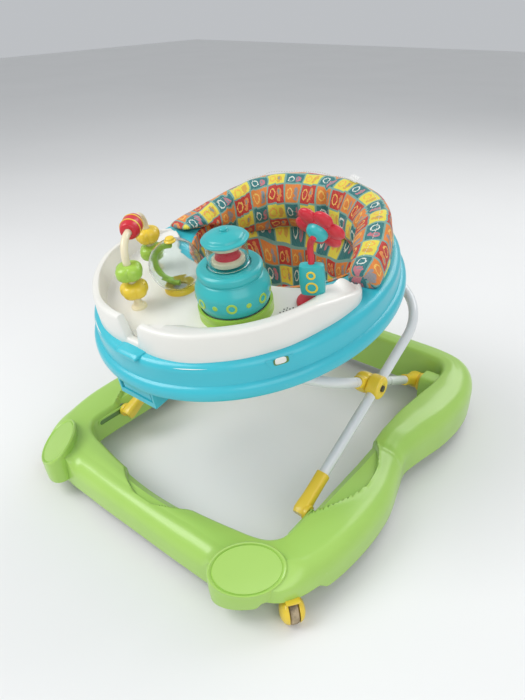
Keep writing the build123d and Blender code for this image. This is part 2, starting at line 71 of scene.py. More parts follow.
# colours and shared shader effects
def newGroup(name, inputs, outputs):
    group = bpy.data.node_groups.new(name, "ShaderNodeTree")
    for label, value in inputs:
        kind = "NodeSocketColor" if isinstance(value, tuple) else "NodeSocketFloat"
        group.interface.new_socket(label, in_out="INPUT", socket_type=kind).default_value = value
    for label, kind in outputs:
        group.interface.new_socket(label, in_out="OUTPUT", socket_type=kind)
    return group, group.nodes.new("NodeGroupInput"), group.nodes.new("NodeGroupOutput")


def noiseNode(tree, scale, detail, coords, rough=0.5, scaleFrom=None):
    node = tree.nodes.new("ShaderNodeTexNoise")
    node.inputs["Scale"].default_value = scale
    node.inputs["Detail"].default_value = detail
    node.inputs["Roughness"].default_value = rough
    tree.links.new(coords, node.inputs["Vector"])
    if scaleFrom is not None:
        tree.links.new(scaleFrom, node.inputs["Scale"])
    return node


def mathNode(tree, kind, a, b=None, c=None):
    node = tree.nodes.new("ShaderNodeMath")
    node.operation = kind
    for i, value in enumerate((a, b, c)):
        if value is None:
            continue
        if isinstance(value, (int, float)):
            node.inputs[i].default_value = value
        else:
            tree.links.new(value, node.inputs[i])
    return node.outputs[0]


def rangeNode(tree, value, a, b, c, d):
    node = tree.nodes.new("ShaderNodeMapRange")
    for i, v in enumerate((a, b, c, d)):
        node.inputs[i + 1].default_value = v
    tree.links.new(value, node.inputs[0])
    return node.outputs[0]


def mixColor(tree, factor, a, b, kind="MIX"):
    node = tree.nodes.new("ShaderNodeMix")
    node.data_type = "RGBA"
    node.blend_type = kind
    for socket, value in ((node.inputs[0], factor), (node.inputs[6], a), (node.inputs[7], b)):
        if isinstance(value, (int, float)):
            socket.default_value = value
        elif isinstance(value, tuple):
            socket.default_value = value
        else:
            tree.links.new(value, socket)
    return node.outputs[2]


def makeMoulded():
    # fine orange-peel of moulded plastic, cloudy colour drift, and fine handling scratches
    group, src, out = newGroup("mouldedPlastic", [("Color", (0.5, 0.5, 0.5, 1)),
                                                   ("Shade", (0.3, 0.3, 0.3, 1)),
                                                  ("Drift", 0.35), ("Scuff", 0.4), ("Rough", 0.3)],
                               [("Color", "NodeSocketColor"), ("Roughness", "NodeSocketFloat"),
                                ("Height", "NodeSocketFloat")])
    coords = group.nodes.new("ShaderNodeTexCoord").outputs["Object"]
    cloud = noiseNode(group, 6.0, 3.0, coords).outputs["Fac"]
    drift = mathNode(group, "MULTIPLY", rangeNode(group, cloud, 0.35, 0.75, 0.0, 1.0), src.outputs["Drift"])
    stretch = group.nodes.new("ShaderNodeMapping")
    stretch.inputs["Scale"].default_value = (1.0, 0.12, 0.6)
    stretch.inputs["Rotation"].default_value = (0.3, 0.2, 0.7)
    group.links.new(coords, stretch.inputs["Vector"])
    lines = noiseNode(group, 260.0, 6.0, stretch.outputs[0], 0.7).outputs["Fac"]
    worn = noiseNode(group, 14.0, 2.0, coords).outputs["Fac"]
    scratch = mathNode(group, "MULTIPLY", rangeNode(group, lines, 0.62, 0.70, 0.0, 1.0),
                       rangeNode(group, worn, 0.5, 0.65, 0.0, 1.0))
    scratch = mathNode(group, "MULTIPLY", scratch, src.outputs["Scuff"])
    base = mixColor(group, drift, src.outputs["Color"], src.outputs["Shade"])
    color = mixColor(group, mathNode(group, "MULTIPLY", scratch, 0.22), base, (0.85, 0.86, 0.82, 1))
    peel = noiseNode(group, 420.0, 2.0, coords).outputs["Fac"]
    rough = mathNode(group, "ADD", src.outputs["Rough"], mathNode(group, "MULTIPLY",
            mathNode(group, "ADD", scratch, drift), 0.22))
    height = mathNode(group, "SUBTRACT", mathNode(group, "MULTIPLY", peel, 0.35),
                      mathNode(group, "MULTIPLY", scratch, 0.5))
    group.links.new(color, out.inputs["Color"])
    group.links.new(rough, out.inputs["Roughness"])
    group.links.new(height, out.inputs["Height"])
    return group


def makeWeave():
    # plain woven cloth: crossed threads with a little fuzz, read from object coordinates
    group, src, out = newGroup("wovenCloth", [("Pitch", 900.0), ("Fuzz", 0.35)],
                               [("Height", "NodeSocketFloat"), ("Mask", "NodeSocketFloat")])
    coords = group.nodes.new("ShaderNodeTexCoord").outputs["Object"]
    split = group.nodes.new("ShaderNodeSeparateXYZ")
    group.links.new(coords, split.inputs[0])
    warp = mathNode(group, "SINE", mathNode(group, "MULTIPLY",
                                            mathNode(group, "ADD", split.outputs[0], split.outputs[1]),
                                            src.outputs["Pitch"]))
    weft = mathNode(group, "SINE", mathNode(group, "MULTIPLY",
                                            mathNode(group, "SUBTRACT", split.outputs[2],
                                                    split.outputs[1]), src.outputs["Pitch"]))
    cross = mathNode(group, "MULTIPLY", warp, weft)
    fuzz = mathNode(group, "MULTIPLY", noiseNode(group, 700.0, 3.0, coords).outputs["Fac"],
                    src.outputs["Fuzz"])
    height = mathNode(group, "ADD", mathNode(group, "MULTIPLY", cross, 0.5), fuzz)
    group.links.new(height, out.inputs["Height"])
    group.links.new(rangeNode(group, height, -0.3, 0.8, 0.0, 1.0), out.inputs["Mask"])
    return group


mouldedGroup, weaveGroup = makeMoulded(), makeWeave()


def startMaterial(name, **sockets):
    material = bpy.data.materials.new(name)
    material.use_nodes = True
    tree = material.node_tree
    shader = tree.nodes["Principled BSDF"]
    for key, value in sockets.items():
        shader.inputs[key.replace("_", " ")].default_value = value
    return material, tree, shader


def addBump(tree, shader, height, distance, strength=0.5):
    bump = tree.nodes.new("ShaderNodeBump")
    bump.inputs["Strength"].default_value = strength
    bump.inputs["Distance"].default_value = distance
    tree.links.new(height, bump.inputs["Height"])
    tree.links.new(bump.outputs[0], shader.inputs["Normal"])


def moulded(name, color, shade, rough=0.28, drift=0.35, scuff=0.4, coat=0.15):
    material, tree, shader = startMaterial(name, Coat_Weight=coat, Coat_Roughness=0.12, IOR=1.49)
    node = tree.nodes.new("ShaderNodeGroup")
    node.node_tree = mouldedGroup
    for key, value in (("Color", (*color, 1)), ("Shade", (*shade, 1)), ("Rough", rough), ("Drift", drift),
                       ("Scuff", scuff)):
        node.inputs[key].default_value = value
    tree.links.new(node.outputs["Color"], shader.inputs["Base Color"])
    tree.links.new(node.outputs["Roughness"], shader.inputs["Roughness"])
    addBump(tree, shader, node.outputs["Height"], 0.00025, 0.35)
    return material


paint = {
    # the dark green entry after green is painted shade, used only for the dark sheets in the pin slot and
    # round the clip tongue
    "green": ((0.40, 0.64, 0.13), (0.28, 0.52, 0.08)), "paintedShadeGreen": ((0.10, 0.22, 0.04), (0.06, 0.14, 0.03)),
    "blue": ((0.045, 0.50, 0.60), (0.03, 0.38, 0.49)), "white": ((0.80, 0.79, 0.74), (0.70, 0.69, 0.63)),
    "yellow": ((0.83, 0.60, 0.045), (0.70, 0.46, 0.03)),
    "turquoise": ((0.035, 0.45, 0.46), (0.02, 0.34, 0.38)),
    "red": ((0.62, 0.018, 0.035), (0.45, 0.01, 0.03)), "lime": ((0.36, 0.58, 0.07), (0.26, 0.45, 0.04)),
    "cream": ((0.80, 0.72, 0.50), (0.68, 0.59, 0.38)),
}
plastic = {key: moulded(key + "Plastic", *pair) for key, pair in paint.items()}
plastic["white"].node_tree.nodes["Principled BSDF"].inputs["Coat Weight"].default_value = 0.08


def makeTubePaint():
    material, tree, shader = startMaterial("tubeEnamel", Coat_Weight=0.5, Coat_Roughness=0.08)
    coords = tree.nodes.new("ShaderNodeTexCoord").outputs["Object"]
    cloud = noiseNode(tree, 9.0, 4.0, coords).outputs["Fac"]
    chips = rangeNode(tree, noiseNode(tree, 70.0, 5.0, coords, 0.7).outputs["Fac"], 0.70, 0.73, 0.0, 1.0)
    color = mixColor(tree, cloud, (0.66, 0.69, 0.70, 1), (0.78, 0.80, 0.80, 1))
    tree.links.new(mixColor(tree, chips, color, (0.36, 0.36, 0.35, 1)), shader.inputs["Base Color"])
    tree.links.new(rangeNode(tree, cloud, 0.3, 0.7, 0.24, 0.36), shader.inputs["Roughness"])
    addBump(tree, shader, noiseNode(tree, 240.0, 2.0, coords).outputs["Fac"], 0.0002, 0.3)
    return material


def makeSteel(name, color, rough):
    material, tree, shader = startMaterial(name, Metallic=1.0)
    coords = tree.nodes.new("ShaderNodeTexCoord").outputs["Object"]
    stretch = tree.nodes.new("ShaderNodeMapping")
    stretch.inputs["Scale"].default_value = (0.1, 1.0, 1.0)
    tree.links.new(coords, stretch.inputs["Vector"])
    grain = noiseNode(tree, 900.0, 4.0, stretch.outputs[0]).outputs["Fac"]
    tree.links.new(mixColor(tree, grain, (*color, 1), tuple(0.6 * c for c in color) + (1,)),
                   shader.inputs["Base Color"])
    tree.links.new(rangeNode(tree, grain, 0.3, 0.7, rough, rough + 0.2), shader.inputs["Roughness"])
    addBump(tree, shader, grain, 0.0001, 0.4)
    return material


def makeTread():
    # grubby tyre surface: dust settles in patches over tan plastic
    material, tree, shader = startMaterial("dustyTread")
    coords = tree.nodes.new("ShaderNodeTexCoord").outputs["Object"]
    dirt = noiseNode(tree, 55.0, 6.0, coords, 0.65).outputs["Fac"]
    tree.links.new(mixColor(tree, rangeNode(tree, dirt, 0.35, 0.65, 0.0, 1.0), (0.46, 0.36, 0.22, 1),
                            (0.10, 0.075, 0.05, 1)), shader.inputs["Base Color"])
    tree.links.new(rangeNode(tree, dirt, 0.3, 0.7, 0.6, 0.9), shader.inputs["Roughness"])
    addBump(tree, shader, dirt, 0.0006, 0.6)
    return material


def makeRubber():
    material, tree, shader = startMaterial("gripRubber")
    coords = tree.nodes.new("ShaderNodeTexCoord").outputs["Object"]
    dust = noiseNode(tree, 60.0, 5.0, coords).outputs["Fac"]
    tree.links.new(mixColor(tree, dust, (0.018, 0.018, 0.018, 1), (0.07, 0.066, 0.06, 1)),
                   shader.inputs["Base Color"])
    tree.links.new(rangeNode(tree, dust, 0.3, 0.7, 0.65, 0.9), shader.inputs["Roughness"])
    addBump(tree, shader, noiseNode(tree, 500.0, 3.0, coords).outputs["Fac"], 0.0004, 0.6)
    return material


def makeClear():
    material, tree, shader = startMaterial("clearPlastic", Transmission_Weight=1.0, IOR=1.18)
    shader.inputs["Base Color"].default_value = (0.90, 0.95, 0.95, 1)
    coords = tree.nodes.new("ShaderNodeTexCoord").outputs["Object"]
    haze = noiseNode(tree, 30.0, 4.0, coords).outputs["Fac"]
    tree.links.new(rangeNode(tree, haze, 0.4, 0.7, 0.04, 0.2), shader.inputs["Roughness"])
    addBump(tree, shader, haze, 0.0003, 0.2)
    return material


def makePrint():
    # patchwork of coloured squares read from the printed UV map, with a grid line, a ring or dots in each
    material, tree, shader = startMaterial("patchworkPrint", Sheen_Weight=0.12, Sheen_Roughness=0.5)
    uv = tree.nodes.new("ShaderNodeUVMap")
    uv.uv_map = "printUV"
    split = tree.nodes.new("ShaderNodeSeparateXYZ")
    tree.links.new(uv.outputs[0], split.inputs[0])
    u, v = split.outputs[0], split.outputs[1]
    cellU, cellV = mathNode(tree, "FLOOR", u), mathNode(tree, "FLOOR", v)
    fu, fv = mathNode(tree, "FRACT", u), mathNode(tree, "FRACT", v)
    oddU = mathNode(tree, "MODULO", mathNode(tree, "ADD", cellU, 200.0), 2.0)
    oddV = mathNode(tree, "MODULO", mathNode(tree, "ADD", cellV, 200.0), 2.0)
    rowA = mixColor(tree, oddU, (0.008, 0.155, 0.165, 1), (0.72, 0.62, 0.045, 1))
    rowB = mixColor(tree, oddU, (0.68, 0.20, 0.022, 1), (0.48, 0.016, 0.008, 1))
    field = mixColor(tree, oddV, rowA, rowB)
    du, dv = mathNode(tree, "SUBTRACT", fu, 0.5), mathNode(tree, "SUBTRACT", fv, 0.5)
    pick = mathNode(tree, "MODULO", mathNode(tree, "ADD", mathNode(tree, "MULTIPLY", cellU, 3.0),
            mathNode(tree, "ADD", mathNode(tree, "MULTIPLY", cellV, 5.0), 300.0)), 4.0)
    blur = mathNode(tree, "MULTIPLY", mathNode(tree, "SUBTRACT",
            noiseNode(tree, 9.0, 2.0, uv.outputs[0]).outputs["Fac"], 0.5), 0.16)

    def oval(x, y, wide, tall):
        # distance from an oval's middle, one at its edge, with an uneven hand-drawn line
        dx = mathNode(tree, "DIVIDE", mathNode(tree, "ADD", mathNode(tree, "SUBTRACT", du, x), blur), wide)
        dy = mathNode(tree, "DIVIDE", mathNode(tree, "SUBTRACT", mathNode(tree, "SUBTRACT", dv, y), blur),
                      tall)
        return mathNode(tree, "SQRT", mathNode(tree, "ADD", mathNode(tree, "MULTIPLY", dx, dx),
                mathNode(tree, "MULTIPLY", dy, dy)))

    ring = mathNode(tree, "COMPARE", oval(0.19, 0.0, 0.15, 0.24), 1.0, 0.16)
    leaf = mathNode(tree, "MAXIMUM", mathNode(tree, "LESS_THAN", oval(-0.20, -0.06, 0.13, 0.25), 1.0),
                    mathNode(tree, "LESS_THAN", oval(-0.14, 0.25, 0.10, 0.10), 1.0))
    vein = mathNode(tree, "LESS_THAN", oval(-0.18, -0.10, 0.05, 0.15), 1.0)
    light = mixColor(tree, oddV, mixColor(tree, oddU, (0.80, 0.82, 0.74, 1), (0.80, 0.30, 0.05, 1)),
                     (0.80, 0.52, 0.10, 1))
    figure = mixColor(tree, oddV, mixColor(tree, oddU, (0.60, 0.15, 0.19, 1), (0.62, 0.30, 0.04, 1)),
                      mixColor(tree, oddU, (0.20, 0.26, 0.30, 1), (0.70, 0.28, 0.06, 1)))
    field = mixColor(tree, mathNode(tree, "MULTIPLY", leaf, 0.85), field, figure)
    field = mixColor(tree, mathNode(tree, "MULTIPLY", mathNode(tree, "MULTIPLY", vein,
            mathNode(tree, "LESS_THAN", pick, 2.5)), 0.8), field, (0.10, 0.25, 0.28, 1))
    field = mixColor(tree, mathNode(tree, "MULTIPLY", ring, 0.85), field, light)
    edge = mathNode(tree, "MAXIMUM", mathNode(tree, "GREATER_THAN", mathNode(tree, "ABSOLUTE", du), 0.452),
                    mathNode(tree, "GREATER_THAN", mathNode(tree, "ABSOLUTE", dv), 0.452))
    field = mixColor(tree, edge, field, (0.16, 0.35, 0.30, 1))
    # painted highlight: the raised threads are lightened a little towards cream by their height
    weave = tree.nodes.new("ShaderNodeGroup")
    weave.node_tree = weaveGroup
    field = mixColor(tree, mathNode(tree, "MULTIPLY", weave.outputs["Mask"], 0.06), field,
                     (0.9, 0.88, 0.8, 1))
    tree.links.new(field, shader.inputs["Base Color"])
    tree.links.new(rangeNode(tree, weave.outputs["Mask"], 0.0, 1.0, 0.62, 0.85), shader.inputs["Roughness"])
    addBump(tree, shader, weave.outputs["Height"], 0.0005, 0.5)
    return material


def makeCloth(name, color, shade, pitch=1100.0):
    material, tree, shader = startMaterial(name, Sheen_Weight=0.2, Sheen_Roughness=0.5)
    weave = tree.nodes.new("ShaderNodeGroup")
    weave.node_tree = weaveGroup
    weave.inputs["Pitch"].default_value = pitch
    # painted shade: the weave's hollows take the darker shade colour and the raised threads the main colour,
    # set by thread height
    tree.links.new(mixColor(tree, weave.outputs["Mask"], (*shade, 1), (*color, 1)),
                   shader.inputs["Base Color"])
    tree.links.new(rangeNode(tree, weave.outputs["Mask"], 0.0, 1.0, 0.65, 0.9), shader.inputs["Roughness"])
    addBump(tree, shader, weave.outputs["Height"], 0.0005, 0.5)
    return material


tubePaint, treadMaterial = makeTubePaint(), makeTread()
rubberMaterial, clearMaterial = makeRubber(), makeClear()
darkSteel = makeSteel("darkRivetSteel", (0.16, 0.14, 0.12), 0.35)
brightSteel = makeSteel("pinSteel", (0.55, 0.55, 0.54), 0.25)
printMaterial = makePrint()
pipingMaterial = makeCloth("pipingCloth", (0.045, 0.30, 0.32), (0.02, 0.17, 0.19))
tagMaterial = makeCloth("whiteTagCloth", (0.82, 0.82, 0.80), (0.62, 0.62, 0.60))
threadMaterial = makeCloth("stitchThread", (0.78, 0.75, 0.62), (0.5, 0.48, 0.40), 2500.0)
print("materials ready", len(bpy.data.materials))


# mesh helpers
def meshObject(name, points, faces, material, matrix):
    mesh = bpy.data.meshes.new(name)
    mesh.from_pydata([matrix @ Vector(p) for p in points], [], faces)
    obj = bpy.data.objects.new(name, mesh)
    bpy.context.scene.collection.objects.link(obj)
    obj.data.materials.append(material)
    tidyMesh(obj)
    return obj


def tidyMesh(obj, angle=38):
    work = bmesh.new()
    work.from_mesh(obj.data)
    bmesh.ops.remove_doubles(work, verts=work.verts, dist=2e-6)
    bmesh.ops.recalc_face_normals(work, faces=work.faces)
    for face in work.faces:
        face.smooth = True
    for edge in work.edges:
        edge.smooth = len(edge.link_faces) == 2 and edge.calc_face_angle(0.0) < radians(angle)
    work.to_mesh(obj.data)
    work.free()
    obj.data.update()


def gridPiece(name, rows, material, matrix, closeRows=True, closeColumns=True, caps=False):
    n, m = len(rows), len(rows[0])
    points = [p for row in rows for p in row]
    faces = []
    for i in range(n if closeRows else n - 1):
        for j in range(m if closeColumns else m - 1):
            a, b = i * m + j, i * m + (j + 1) % m
            c, d = ((i + 1) % n) * m + (j + 1) % m, ((i + 1) % n) * m + j
            faces.append((a, b, c, d))
    if caps:
        faces.append(tuple(reversed(range(m))))
        faces.append(tuple((n - 1) * m + j for j in range(m)))
    return meshObject(name, points, faces, material, matrix)


def rounded(points, radii, steps=5):
    # open line of (a, b) with its inner corners rounded
    out = [points[0]]
    for i in range(1, len(points) - 1):
        p, q, r = Vector(points[i - 1]), Vector(points[i]), Vector(points[i + 1])
        rad = radii if isinstance(radii, (int, float)) else radii[i - 1]
        if rad <= 0:
            out.append(tuple(q))
            continue
        a, b = (p - q), (r - q)
        cut = min(rad, a.length * 0.49, b.length * 0.49)
        s, e = q + a.normalized() * cut, q + b.normalized() * cut
        for k in range(steps + 1):
            t = k / steps
            out.append(tuple(s * (1 - t) ** 2 + q * 2 * t * (1 - t) + e * t * t))
    out.append(points[-1])
    return out


def turned(name, profile, material, matrix, sides=64, wobble=None):
    # turned piece: profile is (radius, height) from one pole, or edge, round to the other
    rows = []
    for i in range(sides):
        t = 2 * pi * i / sides
        k = wobble(t) if wobble else 1.0
        rows.append([(r * k * cos(t), r * k * sin(t), h) for r, h in profile])
    closed = profile[0] == profile[-1]
    if closed:
        rows = [row[:-1] for row in rows]
    return gridPiece(name, rows, material, matrix, True, closed)


def sweptTube(name, path, radius, material, matrix, sides=20, caps=True):
    path = [Vector(p) for p in path]
    rows, normal = [], None
    for i, p in enumerate(path):
        t = (path[min(i + 1, len(path) - 1)] - path[max(i - 1, 0)]).normalized()
        if normal is None:
            normal = t.orthogonal().normalized()
        normal = (normal - t * normal.dot(t)).normalized()
        side = t.cross(normal)
        r = radius(i / (len(path) - 1)) if callable(radius) else radius
        rows.append([tuple(p + (normal * cos(2 * pi * k / sides) + side * sin(2 * pi * k / sides)) * r)
                     for k in range(sides)])
    return gridPiece(name, rows, material, matrix, False, True, caps)


def curvePoints(half):
    # closed loop through the half outline and its mirror, as (x, y) at even steps
    loop = half + [(-x, y) for x, y in reversed(half[1:-1])]
    pts, n = [], len(loop)
    for i in range(n):
        p0, p1, p2, p3 = (Vector(loop[(i + k) % n]) for k in (-1, 0, 1, 2))
        d1 = (p2 - p0) / ((p2 - p1).length + (p1 - p0).length) * (p2 - p1).length
        d2 = (p3 - p1) / ((p3 - p2).length + (p2 - p1).length) * (p2 - p1).length
        for k in range(24):
            t = k / 24
            pts.append(p1 * (2 * t ** 3 - 3 * t * t + 1) + d1 * (t ** 3 - 2 * t * t + t)
                       + p2 * (3 * t * t - 2 * t ** 3) + d2 * (t ** 3 - t * t))
    return pts


def rayLoop(pts, angle):
    # where the ray at this angle from the middle meets the loop
    direction = Vector((cos(angle), sin(angle)))
    for i, p in enumerate(pts):
        q = pts[(i + 1) % len(pts)]
        e = q - p
        det = direction.x * -e.y + direction.y * e.x
        if abs(det) < 1e-9:
            continue
        s = (p.x * -e.y + p.y * e.x) / det
        t = (direction.x * p.y - direction.y * p.x) / det
        if s > 0 and -1e-6 <= t <= 1 + 1e-6:
            return direction * s
    return pts[0]


def keep(obj, body, slotName, *nodes):
    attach(obj, body)
    if nodes:
        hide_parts(*nodes)
    return obj


def mirrored(obj, name):
    # a left-hand copy of a right-hand piece, with its place in its mesh
    copy = bpy.data.objects.new(name, obj.data.copy())
    bpy.context.scene.collection.objects.link(copy)
    copy.data.transform(Matrix.Diagonal((-1, 1, 1, 1)))
    copy.data.flip_normals()
    return copy


def pairPiece(make, stem, body, slotName, nodes=(), bodyPerSide=False):
    # the maker returns the right-hand piece
    right = make()
    left = mirrored(right, stem + "Left")
    right.name = stem + "Right"
    for obj, side in ((right, "right"), (left, "left")):
        keep(obj, body + "_" + side if bodyPerSide else body, slotName, *[n + "_" + side for n in nodes])
    return right, left


# base
baseShape = {
    "outer": [(0, -380), (120, -379.5), (215, -374), (290, -345), (322, -272), (335, -180), (332, -90),
              (312, -10), (303, 28), (311, 80), (326, 150), (331, 230), (319, 300), (288, 350),
              (235, 374), (150, 379.5), (0, 380)],
    "inner": [(0, -322), (80, -317), (160, -305), (215, -292), (237, -272), (241, -240), (241, -180),
              (240, -80), (240, 0), (239, 50), (241, 110), (248, 180), (254, 240), (252, 284),
              (234, 312), (190, 320), (90, 320), (0, 320)],
    "top": [(-392, 84), (-350, 88), (-260, 90), (-170, 92), (-60, 92), (0, 95), (60, 103), (150, 108),
            (250, 110), (320, 114), (392, 113)],
    "bottom": 28.0, "wall": 3.0, "shoulder": 34.0, "innerShoulder": 13.0, "columns": 420,
    "pod": {"centre": (237.0, -357.0, 92.0), "tilt": 32.0, "turn": 44.5, "a": 60.5, "b": 39.5, "foot": 36.5},
    "stem": (284.0, -318.0),
}


def topHeight(y):
    return between(baseShape["top"], y, True)


def podFrame():
    pod = baseShape["pod"]
    turn, tilt = radians(pod["turn"]), radians(pod["tilt"])
    out = Vector((sin(turn), -cos(turn), 0))
    normal = out * sin(tilt) + Vector((0, 0, cos(tilt)))
    along = Vector((cos(turn), sin(turn), 0))
    return Vector(pod["centre"]), along, normal.cross(along), normal


def nearPod(x, y):
    # how near a point in plan is to a pod's ellipse, and how high the pod's face is there
    centre, along, across, normal = podFrame()
    p = Vector((abs(x), y, 0))
    z = centre.z - ((p.x - centre.x) * normal.x + (p.y - centre.y) * normal.y) / normal.z
    d = Vector((p.x, p.y, z)) - centre
    return hypot(d.dot(along) / baseShape["pod"]["a"], d.dot(across) / baseShape["pod"]["b"]), z


def baseSection(outer, inner):
    # closed section from the outer wall's foot over the top, down the inner wall and back inside
    s = baseShape
    width = (outer - inner).length
    direction = (outer - inner) / width
    high = topHeight(inner.y + (outer.y - inner.y) * 0.5)
    shoulder, inside, low = min(s["shoulder"], width * 0.5), s["innerShoulder"], s["bottom"]
    line = [(width, low)]
    line += [(width + 0.4 * sin(pi * k / 5), mix(low, high - shoulder, k / 5)) for k in range(1, 5)]
    line += [(width - shoulder + shoulder * cos(t), high - shoulder + shoulder * sin(t))
             for t in [pi / 2 * k / 12 for k in range(13)]]
    crown = 1.5
    line += [(mix(width - shoulder, inside, k / 14), high + crown * sin(pi * k / 14)) for k in range(1, 14)]
    line += [(inside - inside * sin(t), high - inside + inside * cos(t))
             for t in [pi / 2 * k / 7 for k in range(8)]]
    line += [(0, mix(high - inside, low, k / 6)) for k in range(1, 7)]
    back = [(s["wall"], low), (s["wall"], high - inside - 4), (inside + 4, high - 6),
            (width - shoulder, high - 6), (width - s["wall"], high - shoulder - 3), (width - s["wall"], low)]
    points = []
    for i, (w, z) in enumerate(line + back):
        p = inner + direction * w
        x, py = p.x, p.y
        near, podZ = nearPod(x, py)
        if i < len(line):
            z = pocketed(x, py, z, w, high)
            if near < 1.7 and w > 5 and z > high - shoulder:
                z = mix(z, min(max(podZ - 3.0, low + 30), high + 4), 1 - smooth(0.95, 1.7, near))
        elif near < 1.7 and z > 50:
            z = min(z, max(podZ - 9.0, 58))
        stem = hypot(abs(x) - s["stem"][0], py - s["stem"][1])
        lift = 1 - smooth(46, 66, stem)
        if z < 50:
            z = mix(z, max(z, 45), lift)
        points.append((x, py, z))
    return points


def pocketed(x, y, z, w, high):
    # lens-shaped pocket beside the front leg's foot, and a scallop in the front bar
    if -215 < y < 15 and z > high - 34:
        wide = 50 * (1 - ((y + 100) / 114) ** 2)
        z -= 13 * (1 - smooth(wide - 3, wide + 2.5, w)) * smooth(high - 34, high - 14, z) if wide > 4 else 0
        ridge = abs(w - wide - 4)
        z += 2.4 * exp(-(ridge / 3.0) ** 2) if wide > 4 else 0
    if abs(x) < 90 and y < -280 and z > high - 34:
        wide = 30 * (1 - (x / 88) ** 2)
        z -= 15 * (1 - smooth(wide - 3, wide + 3, w)) * smooth(high - 34, high - 14, z) if wide > 3 else 0
    # valley where the rear lobe swells over the front lobe
    crease = exp(-((y - 2) / 7.0) ** 2)
    z -= 3.4 * crease if z > high - 34 else 0
    return z


def baseRing():
    outer, inner = curvePoints(baseShape["outer"]), curvePoints(baseShape["inner"])
    n = baseShape["columns"]
    rows = []
    for i in range(n):
        angle = 2 * pi * (i + 0.5) / n
        rows.append(baseSection(rayLoop(outer, angle), rayLoop(inner, angle)))
    obj = gridPiece("baseRing", rows, plastic["green"], baseMatrix)
    return keep(obj, "base", "green_moulding", "base_shell")


def podMatrix(side):
    centre, along, across, normal = podFrame()
    m = Matrix((along, across, normal)).transposed().to_4x4()
    m.translation = centre
    return Matrix.Diagonal((side, 1, 1, 1)) @ m


def cornerPod():
    # tilted oval cap: flat face, groove, raised rim, then a wall that drops straight to the foot
    pod = baseShape["pod"]
    a, b = pod["a"], pod["b"]
    steps = [(0.02, -1.2), (0.5, -1.0), (0.86, -1.4), (0.885, -2.8), (0.905, -1.6), (0.93, 0.0),
             (0.965, 0.4), (0.99, -1.0), (1.0, -3.4)]
    m = podMatrix(1)
    rows = []
    for i in range(96):
        t = 2 * pi * i / 96
        row = [tuple(m @ Vector((a * k * cos(t), b * k * sin(t), h))) for k, h in steps]
        x, y, z = row[-1]
        inward = Vector((pod["centre"][0] - x, pod["centre"][1] - y)).normalized()
        stemGap = hypot(x - baseShape["stem"][0], y - baseShape["stem"][1])
        foot = max(pod["foot"], mix(pod["foot"], 46, 1 - smooth(46, 58, stemGap)))
        for k in range(1, 7):
            f = k / 6
            row.append((x + inward.x * 3.0 * f * f, y + inward.y * 3.0 * f * f, mix(z, min(foot, z), f)))
        row.append((x + inward.x * 7, y + inward.y * 7, min(foot, z) + 0.5))
        row.append((x + inward.x * 7, y + inward.y * 7, min(foot, z) + 6))
        rows.append(row)
    obj = gridPiece("cornerPod", rows, plastic["green"], baseMatrix, True, False, False)
    work = bmesh.new()
    work.from_mesh(obj.data)
    bmesh.ops.holes_fill(work, edges=[e for e in work.edges if e.is_boundary], sides=0)
    bmesh.ops.recalc_face_normals(work, faces=work.faces)
    work.to_mesh(obj.data)
    work.free()
    return obj


slotShape = {"middle": -225.3, "reach": 29.3, "height": 70.0, "radius": 5.6, "gap": 5.7}


def slotPoint(t, r, x):
    # a point round the slot at this distance from its end centres
    side = 1 if cos(t) > 0 else -1
    return x, slotShape["middle"] + side * slotShape["reach"] + r * cos(t), slotShape["height"] + r * sin(t)


def slotLiner():
    # raised green lip round the pin slot
    r = slotShape["radius"]
    profile = ((r, 241.5), (r, 238.2), (7.0, 237.9), (9.0, 238.4), (9.0, 241.5))
    rows = [[slotPoint(2 * pi * i / 48, q, x) for q, x in profile] for i in range(48)]
    return gridPiece("slotLiner", rows, plastic["green"], baseMatrix)


def slotShadow():
    # painted shadow: a dark green sheet filling the slot behind the lip, where the gap falls into shade
    r = slotShape["gap"]
    profile = ((0.01 * r, 239.4), (r, 239.4), (r, 241.6), (0.01 * r, 241.6))
    rows = [[slotPoint(2 * pi * i / 40, q, x) for q, x in profile] for i in range(40)]
    return gridPiece("slotShadow", rows, plastic["paintedShadeGreen"], baseMatrix)


def pivotBoss():
    # block on the inner wall that carries the rear leg's pin, rounded at its corners
    rows = []
    for x, grow in ((256, 0), (224, 0), (219.4, -0.6), (217.9, -3.0), (217.8, -26)):
        rows.append([(x, 270.5 + (24 + grow) * superCos(t, 4), 66 + (31 + grow) * superSin(t, 4))
                     for t in turns(48)])
    return gridPiece("pivotBoss", rows, plastic["green"], baseMatrix, False, True, True)


def superCos(t, n):
    return abs(cos(t)) ** (2 / n) * (1 if cos(t) > 0 else -1)


def superSin(t, n):
    return abs(sin(t)) ** (2 / n) * (1 if sin(t) > 0 else -1)


baseRing()
pairPiece(cornerPod, "cornerPod", "base", "green_moulding")
pairPiece(slotLiner, "slotLiner", "base", "green_moulding")
pairPiece(slotShadow, "slotShadow", "base", "green_moulding")
pairPiece(pivotBoss, "pivotBoss", "base", "green_moulding")
print("base made")


# tray
trayShape = {"a": 261.0, "b": 298.6, "high": 58.0, "step": 9.5, "wall": 3.0, "hole": (177.5, 151.5, 92.0),
             "columns": 240}


